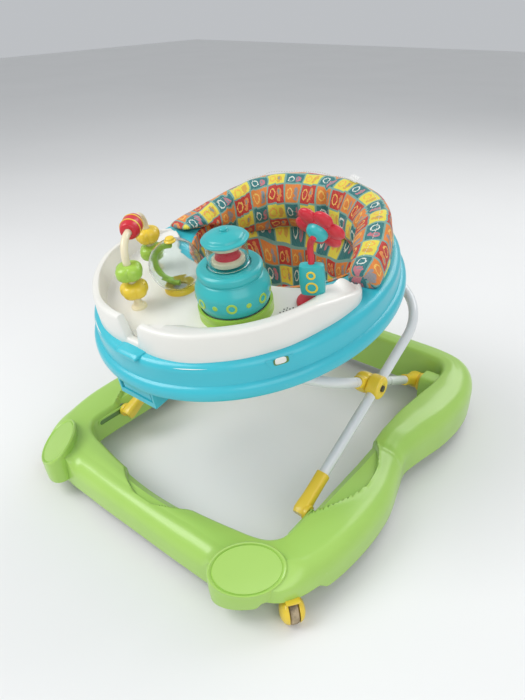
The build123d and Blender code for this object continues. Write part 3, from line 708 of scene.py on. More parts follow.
def trayRing():
    s = trayShape
    inA, inB, inY = s["hole"]
    rows = []
    for i in range(s["columns"]):
        t = 2 * pi * (i + 0.5) / s["columns"]
        o = Vector((s["a"] * cos(t), s["b"] * sin(t)))
        n = Vector((cos(t) / s["a"], sin(t) / s["b"])).normalized()
        inner = Vector((inA * cos(t), inY + inB * sin(t)))
        width = max((o - inner).dot((o - inner).normalized()), 12)
        # flange bulge, a narrow step, then the wall with a large soft top edge
        outline = [(-3.5, -0.0), (-1.2, 0.6), (-0.2, 4), (0, 9), (-0.6, 14), (-2.6, 18.5), (-6.0, 21.3),
                   (-9.0, 22.4), (-9.6, 24.5),
                   (-9.9, 34), (-10.2, 44)]
        outline += [(-10.2 - 12 * (1 - cos(k)), 46 + 12 * sin(k))
                    for k in [pi / 2 * j / 8 for j in range(1, 9)]]
        row = [(*(o + n * d), h) for d, h in outline]
        last = Vector(row[-1][:2])
        row += [(*(last.lerp(inner, k)), 58.0 + 0.8 * sin(pi * k)) for k in (0.25, 0.5, 0.75, 0.94)]
        row += [(*inner, 55.0), (*inner, 40), (*inner, 6), (*inner, 1)]
        under = inner.lerp(o, min(0.2, 4.0 / width))
        row += [(*under, 1), (*under, 52), (*(o - n * 16).lerp(under, 0.3), 53), (*(o - n * 14), 46),
                (*(o - n * 13), 24), (*(o - n * 5), 4), (*(o - n * 4.5), 0)]
        rows.append(row)
    return keep(gridPiece("trayRing", rows, plastic["blue"], trayMatrix), "tray", "blue_moulding",
                "tray_ring")


def frontTab():
    # raised trapezoid catch at the front middle of the tray, with a raised ridge
    rows = []
    for k in range(25):
        f = k / 24
        y = mix(-291.5, -257.6, f)
        half = mix(22, 26.8, f)
        top = 58.4 + 3.0 * smooth(0, 0.25, f) - 2.2 * smooth(0.55, 1.0, f)
        ring = [(half * superCos(a, 5), y, mix(53.0, top, 0.5) + (top - 53.0) / 2 * superSin(a, 5))
                for a in turns(40)]
        rows.append(ring)
    return keep(gridPiece("frontTab", rows, plastic["blue"], trayMatrix, False, True, True), "front_tab",
                "blue_moulding", "front_tab")


clipShape = {"turn": -37.5, "half": 21.0, "low": 37.0, "deep": 9.0}


def clipFrame():
    # where the clip sits on the tray's side: foot point, outward direction, sideways direction
    t = radians(clipShape["turn"])
    n = Vector((cos(t) / trayShape["a"], sin(t) / trayShape["b"], 0)).normalized()
    return Vector((trayShape["a"] * cos(t), trayShape["b"] * sin(t), 0)) - n * 10.2, n, Vector((-n.y, n.x, 0))


def clipRecess():
    # scooped seat in the wall below the toy tray, wide at the top and narrow at its ledge
    foot, n, side = clipFrame()
    rows = []
    for k in range(13):
        f = k / 12
        half = clipShape["half"] * mix(0.62, 1.0, f)
        h = mix(clipShape["low"], 53.0, f)
        proud = mix(1.6, 0.4, f)
        rows.append([tuple(foot + side * half * superCos(a, 6) + n * (proud + 0.7 * superSin(a, 6) - 1.2)
                           + Vector((0, 0, h)))
                     for a in turns(40)])
    return gridPiece("clipSeat", rows, plastic["blue"], trayMatrix, False, True, True)


def clipShadow():
    # painted shadow: a dark green sheet round the tongue, where the gap falls into shade
    foot, n, side = clipFrame()
    rows = [[tuple(foot + side * (2 + 11.5 * k * superCos(a, 4)) + n * 1.3
                   + Vector((0, 0, 48 + 6 * k * superSin(a, 4))))
             for k in (0.02, 1.0)] for a in turns(40)]
    front = gridPiece("clipShadowSheet", rows, plastic["paintedShadeGreen"], trayMatrix, True, False)
    wall = front.modifiers.new("wall", "SOLIDIFY")
    wall.thickness = 0.0006
    bakeModifiers(front)
    return front


def clipTongue():
    foot, n, side = clipFrame()
    rows = []
    for depth, grow in ((0.6, 0.96), (2.4, 1.0), (3.2, 0.88), (3.4, 0.3)):
        rows.append([tuple(foot + side * (1 + 8.5 * grow * superCos(a, 4)) + n * depth
                           + Vector((0, 0, 49.5 + 5.0 * grow * superSin(a, 4)))) for a in turns(40)])
    return gridPiece("clipTongue", rows, plastic["white"], trayMatrix, False, True, True)


def bakeModifiers(obj):
    graph = bpy.context.evaluated_depsgraph_get()
    mesh = bpy.data.meshes.new_from_object(obj.evaluated_get(graph))
    old = obj.data
    obj.modifiers.clear()
    obj.data = mesh
    bpy.data.meshes.remove(old)


trayRing()
frontTab()
pairPiece(clipRecess, "clipSeat", "tray", "blue_moulding")
pairPiece(clipShadow, "clipShadowSheet", "tray", "blue_moulding")
pairPiece(clipTongue, "clipTongue", "tray", "white_moulding")
print("tray made")


# toy tray
toyShape = {
    "outer": [(0, -270), (52, -268), (97, -254), (138, -226), (170, -194), (198, -152), (216, -104),
              (228, -55), (230, -8), (216, 17)],
    "inner": [(0, -56), (50, -54), (105, -44), (150, -22), (176, 6), (196, 18)],
    "rim": [(-300, 103.5), (-150, 103.5), (-100, 99.5), (-50, 87.5), (0, 72.5), (40, 67.5)],
    "floor": 66.0, "skin": 2.6, "rimWidth": 14.0, "notch": (-3.0, 13.0), "deck": 42.0,
}


def evenLine(points, count):
    dense, n = [], len(points)
    for i in range(n - 1):
        p0, p1, p2, p3 = (Vector(points[min(max(i + k, 0), n - 1)]) for k in (-1, 0, 1, 2))
        for k in range(20):
            t = k / 20
            dense.append(0.5 * ((2 * p1) + (p2 - p0) * t + (2 * p0 - 5 * p1 + 4 * p2 - p3) * t * t
                                + (3 * p1 - p0 - 3 * p2 + p3) * t ** 3))
    dense.append(Vector(points[-1]))
    lengths = [0.0]
    for a, b in zip(dense, dense[1:]):
        lengths.append(lengths[-1] + (b - a).length)
    out, j = [], 0
    for i in range(count):
        want = lengths[-1] * i / (count - 1)
        while j < len(lengths) - 2 and lengths[j + 1] < want:
            j += 1
        span = lengths[j + 1] - lengths[j]
        out.append(dense[j].lerp(dense[j + 1], (want - lengths[j]) / span if span else 0))
    return out


def rimHeight(y):
    return between(toyShape["rim"], y, False)


def toyTray():
    s = toyShape
    steps = 100
    outer, inner = evenLine(s["outer"], steps), evenLine(s["inner"], steps)
    rows = []
    for i in range(-steps + 1, steps):
        k, side = abs(i), -1 if i < 0 else 1
        o, n = outer[k].copy(), inner[k].copy()
        gap = (n - o).length
        d = (n - o) / gap
        rim = rimHeight(o.y)
        rim = mix(67.5, rim, smooth(s["notch"][1], s["notch"][1] + 9, abs(o.x * side - s["notch"][0])))
        width = min(s["rimWidth"], gap * 0.42)
        low = 58.3
        flare = 13.0 * (1 - smooth(-90, 0, o.y))  # the skirt reaches out over the tray's rounded edge
        foot = low - 5.5 * flare / 13
        line = [(0.6 - flare, foot), (-flare, foot + 2.0), (-0.45 * flare, mix(foot, rim, 0.45)),
                (0.0, rim - 6), (0.8, rim - 2.6), (2.8, rim - 0.6), (5.5, rim), (width - 5.5, rim),
                (width - 2.2, rim - 0.8), (width - 0.4, rim - 3.5),
                (width, max(rim - 8, s["floor"] + 1.4)), (width + 2.0, s["floor"] + 0.9),
                (width + 5.0, s["floor"])]
        # the right-hand part slopes down from the rim as a broad deck
        deck = s["deck"] * smooth(12, 60, o.x * side) * smooth(20, 70, gap)
        line[-3:] = [(width + deck * 0.3, mix(max(rim - 8, s["floor"] + 1.4), rim - 4, smooth(0, 20, deck))),
                     (width + 2 + deck * 0.8, s["floor"] + 0.9 + 0.42 * deck),
                     (width + 5.0 + deck, s["floor"])]
        line += [(mix(width + 5 + deck, gap - 5, f), s["floor"] + 0.3 * sin(pi * f))
                 for f in (0.15, 0.35, 0.6, 0.85)]
        line += [(gap - 4.5, s["floor"] + 0.6), (gap - 2.4, s["floor"] + 2.0),
                 (gap - 0.8, s["floor"] + 0.6), (gap, s["floor"] - 2), (gap, low), (gap - 2.5, low),
                 (gap - 3, s["floor"] - s["skin"]), (width, s["floor"] - s["skin"]), (4, low),
                 (3.4 - flare, foot)]
        points, previous = [], -1.0
        for w, h in line[:20]:
            w = min(max(w, previous + 0.02), gap)
            previous = w
            points.append((w, h))
        points += [(min(w, gap), h) for w, h in line[20:]]
        rows.append([((o + d * w).x * side, (o + d * w).y, h) for w, h in points])
    return keep(gridPiece("toyTray", rows, plastic["white"], trayMatrix, False, True, True), "toy_tray",
                "white_moulding", "toy_tray")


potPlace = {"at": (82.0, -128.0), "top": 154.0}
ballPlace = {"at": (-43.0, -125.0, 111.0), "radius": 43.8}
archPlace = {"front": (-65.0, -199.0), "rear": (-130.0, -100.0), "top": 178.0, "bend": 30.0, "radius": 6.0}
postPlace = {"at": (175.0, -54.0), "flower": (190.0, -52.0, 190.0), "tilt": 25.0}


def at(x, y, h=0.0):
    return trayMatrix @ Matrix.Translation((x, y, h))


def toyPot():
    px, py = potPlace["at"]
    base = [(53.5, 66.1), (57.8, 66.1), (57.9, 72), (57.2, 74), (57.9, 76), (57.8, 84.6), (53.5, 84.6),
            (53.5, 66.1)]
    keep(turned("potBand", base, plastic["lime"], at(px, py), 72), "toy_tray", "lime_toy", "pot_base")
    body = rounded([(4, 85.2), (52, 85.2), (56.8, 98), (57, 118), (49, 131), (46.5, 133), (49.5, 137),
                    (49.5, 145), (45, 149), (33, 149), (33, 146), (4, 146), (4, 85.2)],
                   [2, 5, 6, 4, 1.5, 2, 2, 2, 1, 0, 0], 5)
    keep(turned("potBody", body, plastic["turquoise"], at(px, py), 80), "toy_tray", "turquoise_toy",
         "pot_body")
    for k in range(14):  # raised plain half-rings and pips round the pot
        turn = 2 * pi * k / 14
        face = (Matrix.Translation((56.2 * cos(turn), 56.2 * sin(turn), 106))
                @ Matrix.Rotation(turn, 4, "Z") @ Matrix.Rotation(pi / 2, 4, "Y"))
        if k % 2:
            shape = rounded([(0, 1.4), (3.6, 1.4), (4.6, 0), (4.6, -3), (0, -3)], [1.4, 1, 0], 4)
        else:
            shape = rounded([(4.6, 0), (4.6, 1.4), (8.0, 1.4), (8.0, 0), (8.0, -3), (4.6, -3), (4.6, 0)],
                            [1, 1, 0, 0, 0], 3)
        keep(turned("potPip" + str(k), shape, plastic["lime"], at(px, py) @ face, 28), "toy_tray", "lime_toy")
    lid = rounded([(0, 187.2), (34.6, 187.2), (34.8, 190.6), (29.5, 191.8), (27, 196), (14, 200.6),
                   (5.5, 201.2), (6.4, 204.6), (4.4, 206), (0, 206)], [2, 1.2, 1.5, 4, 5, 1.5, 1.6, 1.2], 5)
    keep(turned("lanternLid", lid, plastic["turquoise"], at(px, py), 64, lambda t: 1 + 0.012 * cos(8 * t)),
         "lantern", "turquoise_toy", "lantern_lid")
    glass = [(28.9, 150.4), (30.9, 150.4), (30.9, 186.8), (28.9, 186.8), (28.9, 150.4)]
    keep(turned("lanternGlass", glass, clearMaterial, at(px, py), 64), "lantern", "clear_toy",
         "lantern_glass")
    spool = rounded([(0, 152.2), (25, 152.2), (25, 159.6), (16, 162), (14, 169), (16, 176), (25, 178),
                     (25, 186.8), (0, 186.8)], [1.5, 2.5, 3, 5, 3, 2.5, 1.5], 5)
    keep(turned("lanternSpool", spool, plastic["cream"], at(px, py), 48), "lantern", "cream_toy",
         "lantern_spool")
    band = rounded([(11, 159.5), (20, 159.5), (16.4, 168), (20, 177.5), (11, 177.5), (11, 159.5)],
                   [2, 5, 2, 0], 5)
    keep(turned("spoolBand", band, plastic["red"], at(px, py), 40), "lantern", "red_toy")


def toyBall():
    x, y, z = ballPlace["at"]
    r = ballPlace["radius"]
    base = rounded([(12, 66.1), (27, 66.1), (27, 72), (23.5, 75.4), (22.2, 75), (12, 69.2), (12, 66.1)],
                   [0, 2.5, 1, 0.5, 0], 5)
    keep(turned("ballCup", base, plastic["yellow"], at(x, y), 56), "toy_tray", "yellow_toy", "ball_base")
    # clear shell with a low flange where its halves meet; the inner wall faces inwards
    angles = [pi * k / 60 - pi / 2 for k in range(61)]
    outline = [((r - 0.8) * cos(a) + 0.8 * exp(-(a / 0.035) ** 2) if 0 < k < 60 else 0.0,
                (r - 0.8) * sin(a)) for k, a in enumerate(angles)]
    inside = [((r - 2.6) * cos(a) if 0 < k < 60 else 0.0, (r - 2.6) * sin(a)) for k, a in enumerate(angles)]
    spin = Matrix.Rotation(radians(25), 4, "Z")
    shell, hollow = (turned(n, line, clearMaterial, at(x, y, z) @ spin, 72)
                     for n, line in (("ballShell", outline), ("ballHollow", inside)))
    hollow.data.flip_normals()
    work = bmesh.new()
    work.from_mesh(shell.data)
    work.from_mesh(hollow.data)
    work.to_mesh(shell.data)
    work.free()
    bpy.data.objects.remove(hollow)
    keep(shell, "ball", "clear_toy", "ball_globe")
    rows = []
    for k in range(33):
        a = mix(-0.50 * pi, 0.50 * pi, k / 32)
        rows.append([(-(35 + 4.4 * superCos(t, 4)) * cos(a), 4.2 * superSin(t, 4),
                      (35 + 4.4 * superCos(t, 4)) * sin(a)) for t in turns(20)])
    fin = gridPiece("ballVane", rows, plastic["lime"], at(x, y, z) @ spin, False, True, True)
    keep(fin, "ball", "lime_toy", "ball_fin")
    knob = rounded([(0, -1.6), (9, -1.6), (10, 0.8), (7, 3), (7.4, 5.6), (4, 7.4), (0, 7.6)],
                   [0.8, 1.5, 1.5, 2, 2], 4)
    keep(turned("ballKnob", knob, plastic["yellow"], at(x, y, z + r - 1.4), 40), "ball", "yellow_toy")


def archPath():
    f, r = Vector(archPlace["front"]), Vector(archPlace["rear"])
    top, bend = archPlace["top"], archPlace["bend"]
    d = (r - f).normalized()
    span = (r - f).length
    pts = [(*f, 66.2 + (top - bend - 66.2) * k / 8) for k in range(9)]
    for k in range(1, 13):
        a = pi / 2 * k / 12
        pts.append((*(f + d * bend * (1 - cos(a))), top - bend + bend * sin(a)))
    pts += [(*(f + d * mix(bend, span - bend, k / 6)), top) for k in range(1, 6)]
    for k in range(0, 13):
        a = pi / 2 * k / 12
        pts.append((*(f + d * (span - bend + bend * sin(a))), top - bend + bend * cos(a)))
    pts += [(*r, mix(top - bend, 66.2, k / 8)) for k in range(1, 9)]
    return pts


def toyArch():
    tube = sweptTube("archTube", archPath(), 5.9, plastic["cream"], trayMatrix, 24)
    keep(tube, "toy_tray", "cream_toy", "arch_tube")
    for index, foot in enumerate((archPlace["front"], archPlace["rear"])):
        collar = rounded([(5.6, 66.1), (12.9, 66.1), (12.6, 69.6), (7.6, 71), (6.9, 77), (5.6, 77),
                          (5.6, 66.1)], [0, 1.5, 2, 1, 0], 5)
        keep(turned("archCollar" + str(index), collar, plastic["cream"], at(*foot), 40), "toy_tray",
             "cream_toy")


def petalBead(name, place, radius, petals, material, matrix=None):
    rows = []
    for i in range(96):
        t = 2 * pi * i / 96
        lobes = 0.84 + 0.16 * abs(cos(petals * t / 2)) ** 0.7
        row = []
        for k in range(15):
            a = pi * k / 14 - pi / 2
            row.append((mix(6.3, radius * lobes, max(cos(a), 0) ** 0.75), 12.6 * superSin(a, 2.4)))
        rows.append([(q * cos(t), q * sin(t), h) for q, h in row])
    return gridPiece(name, rows, material, matrix or at(*place))


def toyBeads():
    f, r = archPlace["front"], archPlace["rear"]
    for name, place, h, radius, petals, color in (
            ("front_low", f, 100, 22.8, 5, "yellow"), ("front_high", f, 132, 22.6, 4, "lime"),
            ("rear_low", r, 100, 21.6, 4, "lime"), ("rear_high", r, 132, 21.6, 5, "yellow")):
        piece = petalBead("bead_" + name + "Flower", (*place, h), radius, petals, plastic[color])
        keep(piece, "bead_" + name, color + "_toy", "bead_" + name)
    d = (Vector(r) - Vector(f)).normalized()
    mid = ((f[0] + r[0]) / 2, (f[1] + r[1]) / 2, archPlace["top"])
    turnTo = Matrix(((-d.y, 0, d.x), (d.x, 0, d.y), (0, 1, 0))).to_4x4()
    line = rounded([(6.3, -20.5), (13, -20.5), (16.7, -9), (16.7, 9), (13, 20.5), (6.3, 20.5),
                    (6.3, -20.5)], [4, 7, 7, 4, 0], 6)
    keep(turned("bead_topOval", line, plastic["red"], at(*mid) @ turnTo, 56), "bead_top", "red_toy",
         "bead_top")
    for k in (-1, 1):
        ring = rounded([(16.2, k * 8 - 1.2), (17.0, k * 8 - 1.2), (17.0, k * 8 + 1.2), (16.2, k * 8 + 1.2),
                        (16.2, k * 8 - 1.2)], 0.3, 2)
        keep(turned("bead_topBand" + ("Low" if k < 0 else "High"), ring, plastic["yellow"],
                    at(*mid) @ turnTo, 56), "bead_top", "yellow_toy")


def flowerMatrix():
    tilt = radians(postPlace["tilt"])
    z = Vector((0, cos(tilt), sin(tilt)))
    x = Vector((1, 0, 0))
    m = Matrix((x, z.cross(x), z)).transposed().to_4x4()
    return at(*postPlace["flower"]) @ m


def flowerOut(out):
    tilt = radians(postPlace["tilt"])
    return Vector(postPlace["flower"]) + Vector((0, cos(tilt), sin(tilt))) * out


def toyPost():
    px, py = postPlace["at"]
    disc = rounded([(0, 66.1), (26.8, 66.1), (26.8, 72), (22, 74.8), (0, 75)], [1, 4, 2], 6)
    keep(turned("postDisc", disc, plastic["red"], at(px, py), 56), "toy_tray", "red_toy", "post_base")
    rows = []
    for k in range(21):
        h = mix(81.5, 134.5, k / 20)
        pinch = (1 - 0.10 * (k / 20 - 0.5) ** 2 * 4 - 0.45 * (1 - smooth(0, 3, h - 81.4))
                 - 0.45 * smooth(131.5, 134.6, h))
        rows.append([(19.7 * pinch * superCos(t, 4), 9.7 * pinch * superSin(t, 3.2), h) for t in turns(48)])
    keep(gridPiece("postBody", rows, plastic["turquoise"], at(px, py)
                   @ Matrix.Rotation(radians(25), 4, "Z"), False, True, True), "toy_tray", "turquoise_toy",
         "post_body")
    for k, (h, r) in enumerate(((119, 7.0), (98, 9.5))):  # plain raised rings on the body's faces
        for side in (-1, 1):
            face = (Matrix.Rotation(radians(25), 4, "Z") @ Matrix.Translation((0, side * 9.3, h))
                    @ Matrix.Rotation(-side * pi / 2, 4, "X"))
            ring = rounded([(r - 3, -1), (r - 3, 1.0), (r, 1.0), (r, -1), (r - 3, -1)], 0.6, 3)
            keep(turned("postRing" + str(k) + ("a" if side < 0 else "b"), ring, plastic["yellow"],
                        at(px, py) @ face, 36), "toy_tray", "yellow_toy")
    knee, elbow = Vector((px, py, 168)), flowerOut(-12)
    path = [(px, py, mix(135, 160, k / 5)) for k in range(6)]
    path += [tuple(Vector((px, py, 160)).lerp(knee, t) * (1 - t) + knee.lerp(elbow, t * 0.5) * t)
             for t in (0.3, 0.6, 0.9)]
    path += [tuple(knee.lerp(elbow, t)) for t in (0.55, 0.75, 0.9)]
    path += [tuple(elbow.lerp(flowerOut(2), t)) for t in (0.15, 0.5, 1.0)]
    keep(sweptTube("postStem", path, 4.9, plastic["red"], trayMatrix, 20), "toy_tray", "red_toy", "post_stem")


toyTray()
toyPot()
toyBall()
toyArch()
toyBeads()
toyPost()
print("toys made")


# tube frame, hubs, shoes and feet
frameShape = {"pivotY": 272.0, "slideY": -196.0, "pivotZ": 70.0, "angle": 27.7, "outerX": 222.0,
              "innerX": 197.5, "tube": 9.4, "rearCorner": 180.0, "frontCorner": 125.0}
armLength = (frameShape["pivotY"] - frameShape["slideY"]) / 2 / cos(radians(frameShape["angle"]))
hubAt = (0.0, (frameShape["pivotY"] + frameShape["slideY"]) / 2,
         frameShape["pivotZ"] + armLength * sin(radians(frameShape["angle"])))


def legMatrix(side):
    # local +Y runs up the leg from its lower pin, +X across, +Z out of the leg's plane
    a = radians(frameShape["angle"])
    up = Vector((0, side * cos(a), sin(a)))
    x = Vector((1, 0, 0))
    m = Matrix((x, up, x.cross(up))).transposed().to_4x4()
    return baseMatrix @ Matrix.Translation((0, frameShape["slideY"] if side > 0 else frameShape["pivotY"],
                                            frameShape["pivotZ"])) @ m


def uPath(half, start, length, corner):
    right = [(half, mix(start, length - corner, k / 20), 0) for k in range(21)]
    right += [(half - corner + corner * cos(a), length - corner + corner * sin(a), 0)
              for a in [pi / 2 * k / 20 for k in range(1, 21)]]
    flat = half - corner
    steps = max(int(flat / 12), 1)
    right += [(flat * (1 - k / steps), length, 0) for k in range(1, steps)]
    return right + [(0, length, 0)] + [(-x, y, z) for x, y, z in reversed(right)]


def frameTubes():
    f = frameShape
    rear = sweptTube("rearLegTube", uPath(f["innerX"], 17, 2 * armLength, f["rearCorner"]), f["tube"],
                     tubePaint, legMatrix(-1), 28)
    keep(rear, "rear_leg", "white_tube", "rear_leg_tube")
    front = sweptTube("frontLegTube", uPath(f["outerX"], 21, armLength + 245, f["frontCorner"]), f["tube"],
                      tubePaint, legMatrix(1), 28)
    keep(front, "front_leg", "white_tube", "front_leg_tube")


def alongX(x, y, z):
    # local +Z points along +X from this place
    return baseMatrix @ Matrix.Translation((x, y, z)) @ Matrix.Rotation(pi / 2, 4, "Y")


def hubBarrel():
    outline = rounded([(0, -12.3), (21.4, -12.3), (22.4, -9), (22.4, 9.6), (19.2, 12.9), (9.4, 12.6),
                       (8.2, 10.6), (0, 10.6)], [2, 1, 4, 3, 1, 0.6], 5)
    return turned("hubBarrel", outline, plastic["yellow"], alongX(222, hubAt[1], hubAt[2]), 72)


def hubRivetHead():
    outline = rounded([(0, 10.2), (6.4, 10.2), (6.2, 12.6), (3.0, 13.9), (0, 14.2)], [0.4, 1.4, 1.2], 4)
    return turned("hubRivetHead", outline, darkSteel, alongX(222, hubAt[1], hubAt[2]), 36)


def hubShroud():
    # flared sleeve that wraps the inner tube above and below the pivot
    rows = []
    for k in range(31):
        s = mix(-33.5, 33.5, k / 30)
        r = 11.6 + 8.2 * exp(-(s / 13.5) ** 4)
        rows.append([(197.5 + min(11.3, (r if k not in (0, 30) else r - 0.8) * 0.98 * superCos(t, 2.6)),
                      armLength + s, r * superSin(t, 2.6)) for t in turns(40)])
    return gridPiece("hubShroud", rows, plastic["yellow"], legMatrix(-1), False, True, True)


def slideShoe():
    # sleeve on the front leg's foot, tapering to a flat end
    rows = []
    for k in range(25):
        s = mix(-9.5, 71.5, k / 24)
        grow = 0.86 + 0.14 * smooth(-10, -3, s)
        r = mix(12.8, 11.4, smooth(0, 30, s)) * grow
        rows.append([(222 + min(r * 1.02 * superCos(t, 3), 12), s, r * superSin(t, 3)) for t in turns(40)])
    return gridPiece("slideSleeve", rows, plastic["yellow"], legMatrix(1), False, True, True)


def slideFlange():
    return turned("slideFlange", rounded([(0, 8), (13.8, 8), (13.8, 15.3), (0, 15.3)], [1.5, 1.0], 4),
                  plastic["yellow"], alongX(222, -196, 70), 48)


def slidePin():
    line = rounded([(0, 8), (4.9, 8), (4.9, 24.2), (8.9, 24.2), (8.9, 27.6), (0, 27.8)],
                   [0.2, 0.2, 0.5, 1], 3)
    return turned("slidePin", line, brightSteel, alongX(222, -196, 70), 32)


def rearTrumpet():
    # trumpet-shaped foot: narrow sleeve on the tube that flares to the round flange against the boss
    rows = []
    for k in range(27):
        s = mix(-15.5, 61.5, k / 26)
        r = 11.6 + 6.5 * (1 - smooth(-12, 34, s))
        rows.append([(197.5 + min(r * 0.92 * superCos(t, 2.8), 12.8), s, r * superSin(t, 2.8))
                     for t in turns(40)])
    return gridPiece("rearTrumpet", rows, plastic["yellow"], legMatrix(-1), False, True, True)


def rearFlange():
    line = rounded([(0, 9), (16, 10), (20.8, 15), (20.8, 19.7), (0, 19.7)], [1, 2, 1], 4)
    return turned("rearFlange", line, plastic["yellow"], alongX(197.5, 272, 70), 56)


def pivotHead():
    line = rounded([(0, -16), (6, -16), (8.8, -14.2), (8.8, -12.6), (0, -12.6)], [1.5, 0.8, 0.3], 3)
    return turned("pivotHead", line, darkSteel, alongX(197.5, 272, 70), 32)


frameTubes()
pairPiece(hubBarrel, "hubBarrel", "front_leg", "yellow_moulding", ("hub_outer",))
pairPiece(hubRivetHead, "hubRivetHead", "front_leg", "steel")
pairPiece(hubShroud, "hubShroud", "rear_leg", "yellow_moulding", ("hub_inner",))
pairPiece(slideShoe, "slideSleeve", "front_leg", "yellow_moulding", ("slide_shoe",))
pairPiece(slideFlange, "slideFlange", "front_leg", "yellow_moulding")
pairPiece(slidePin, "slidePin", "front_leg", "steel", ("slide_pin",))
pairPiece(rearTrumpet, "rearTrumpet", "rear_leg", "yellow_moulding", ("rear_foot",))
pairPiece(rearFlange, "rearFlange", "rear_leg", "yellow_moulding")
pairPiece(pivotHead, "pivotHead", "base", "steel")
print("frame made")


# casters and wheels
casterShape = {"stem": (284.0, -318.0), "trail": 20.0, "out": (0.8, -0.6), "radius": 21.0}


def casterMatrix():
    c = casterShape
    x, y = c["out"]
    axle = Vector((-y, x, 0))
    m = Matrix((axle, Vector((-x, -y, 0)), Vector((0, 0, 1)))).transposed().to_4x4()
    m.translation = Vector((c["stem"][0] + c["trail"] * x, c["stem"][1] + c["trail"] * y, c["radius"]))
    return baseMatrix @ m


def casterHalf(side):
    # half ball with a turned-over edge beside the tread
    line = [(19.4 * cos(a) ** 0.9 if a < pi / 2 - 0.01 else 0.0, 8.6 + 11.2 * sin(a))
            for a in [pi / 2 * k / 14 for k in range(15)]]
    line = [(0, 8.2), (18.4, 8.2), (20.2, 8.3), (20.4, 9.4), (19.6, 10.1)] + line[1:]
    turn = Matrix.Rotation(side * pi / 2, 4, "Y")
    return turned("casterHalf", line, plastic["yellow"], casterMatrix() @ turn, 56)


def casterBridge():
    rows = []
    for k in range(15):
        y = mix(-9, 27, k / 14)
        rows.append([(11.5 * superCos(t, 4), y, 25 + 1.9 * superSin(t, 4)) for t in turns(32)])
    return gridPiece("casterBridge", rows, plastic["yellow"], casterMatrix(), False, True, True)


def casterTread():
    line = ([(3.2, -7.3)] + rounded([(17, -7.3), (21, -5.4), (21, 5.4), (17, 7.3)], 2.5, 4)
            + [(3.2, 7.3), (3.2, -7.3)])
    return turned("casterTread", line, treadMaterial, casterMatrix() @ Matrix.Rotation(pi / 2, 4, "Y"), 64)


def rearWheel():
    half = [(4.1, 4.2), (8, 4.2), (8, 7.6), (9.5, 7.6), (9.5, 4.4), (16, 4.2), (17.2, 7.9)]
    line = half + rounded([(17.4, 7.9), (24.9, 6.6), (25, 0)], 2.5, 4)
    back = [(r, -h) for r, h in reversed(line[:-1])]
    return turned("rearWheelBody", line + back + [line[0]], treadMaterial, alongX(265, 325, 25), 64)


for label, sign in (("Outer", 1), ("Inner", -1)):
    pairPiece(lambda s=sign: casterHalf(s), "casterHalf" + label, "caster", "wheel_yellow",
              ("caster_housing",), True)
pairPiece(casterBridge, "casterBridge", "caster", "wheel_yellow", (), True)
pairPiece(casterTread, "casterTread", "front_wheel", "wheel_tread", ("caster_wheel",), True)
pairPiece(rearWheel, "rearWheelBody", "rear_wheel", "wheel_yellow", ("rear_wheel",), True)
print("wheels made")


# padded seat
seatShape = {
    "voxel": 0.0052, "pressure": 4.0, "frames": 20, "cap": 0.009, "pitch": 35.0,
    # crest of the pad as (degrees round the ring, distance in from the rim, height)
    "crest": [(5, 27, 98), (18, 22, 118), (32, 20, 135), (46, 26, 136), (62, 38, 135), (90, 55, 134),
              (115, 55, 132),
              (130, 50, 123), (142, 53, 108), (152, 57, 93), (163, 57, 78), (174, 46, 71)],
    "bottom": 61.0, "thick": 56.0, "hang": 52.0,
}


def seatCrest(t):
    pts = seatShape["crest"]
    turn = min(max(t * 180 / pi, pts[0][0]), pts[-1][0])
    for (t0, d0, z0), (t1, d1, z1) in zip(pts, pts[1:]):
        if turn <= t1:
            k = (turn - t0) / (t1 - t0)
            k = mix(k, smooth(0, 1, k), 0.5)
            return mix(d0, d1, k), mix(z0, z1, k)
    return pts[-1][1:]


def rimGap(outer, direction):
    # how far in from the pad's outer line the edge of the seat hole is
    inA, inB, inY = trayShape["hole"]
    for k in range(1, 80):
        p = outer - direction * k
        if (p.x / inA) ** 2 + ((p.y - inY) / inB) ** 2 < 1:
            return k
    return 60


def padSection(t):
    # closed outline (distance in, height): up the outside, over the crest, down inside the seat hole
    outer = Vector((236 * cos(t), 270 * sin(t)))
    direction = Vector((cos(t) / 236, sin(t) / 270)).normalized()
    across, high = seatCrest(t)
    low, deep = seatShape["bottom"], high - seatShape["bottom"]
    rim = rimGap(outer, direction)
    over = smooth(radians(20), radians(50), t) * smooth(radians(162), radians(132), t)
    hang = seatShape["hang"] * over
    inside = max(across + 22, seatShape["thick"])
    crease = sum(exp(-((t - radians(c)) / 0.030) ** 2) for c in (38, 57, 78, 101, 124, 146))
    soft = 1.6 * sin(11 * t) + 1.2 * sin(23 * t + 1)
    pinch = 4.5 * crease + soft
    outline = [(8, low), (1 - 0.3 * soft, low + 0.20 * deep),
               (mix(1, across - 17, 0.30), low + 0.58 * deep), (across - 17, low + 0.90 * deep),
               (across, high - 0.5 * pinch), (across + 15, low + 0.90 * deep),
               (inside - 2 - pinch, low + 0.55 * deep),
               (mix(inside, max(rim + 38, inside - 4), over) - pinch, low + 0.12 * deep),
               (mix(inside - 6, rim + 33, over) - pinch, low - 0.45 * hang + 2),
               (mix(inside - 16, rim + 20, over), low - 0.97 * hang + 0.5),
               (mix(inside - 24, rim + 6, over), low - 0.90 * hang),
               (mix(inside - 32, rim + 2.5, over), low - 0.3 * hang),
               (min(mix(inside - 40, rim + 1.0, over), rim + 1.0), low)]
    return outer, direction, outline


def padPoints(t, count):
    outer, direction, outline = padSection(t)
    line = evenLine(outline + outline[:1], count + 1)[:-1]
    return [(outer.x - direction.x * q.x, outer.y - direction.y * q.x, q.y) for q in line]


def padTop(t, lift):
    # the crest of the pad at this angle, set above it by the lift
    outer, direction, outline = padSection(t)
    across, high = outline[4]
    return outer.x - direction.x * across, outer.y - direction.y * across, high + lift


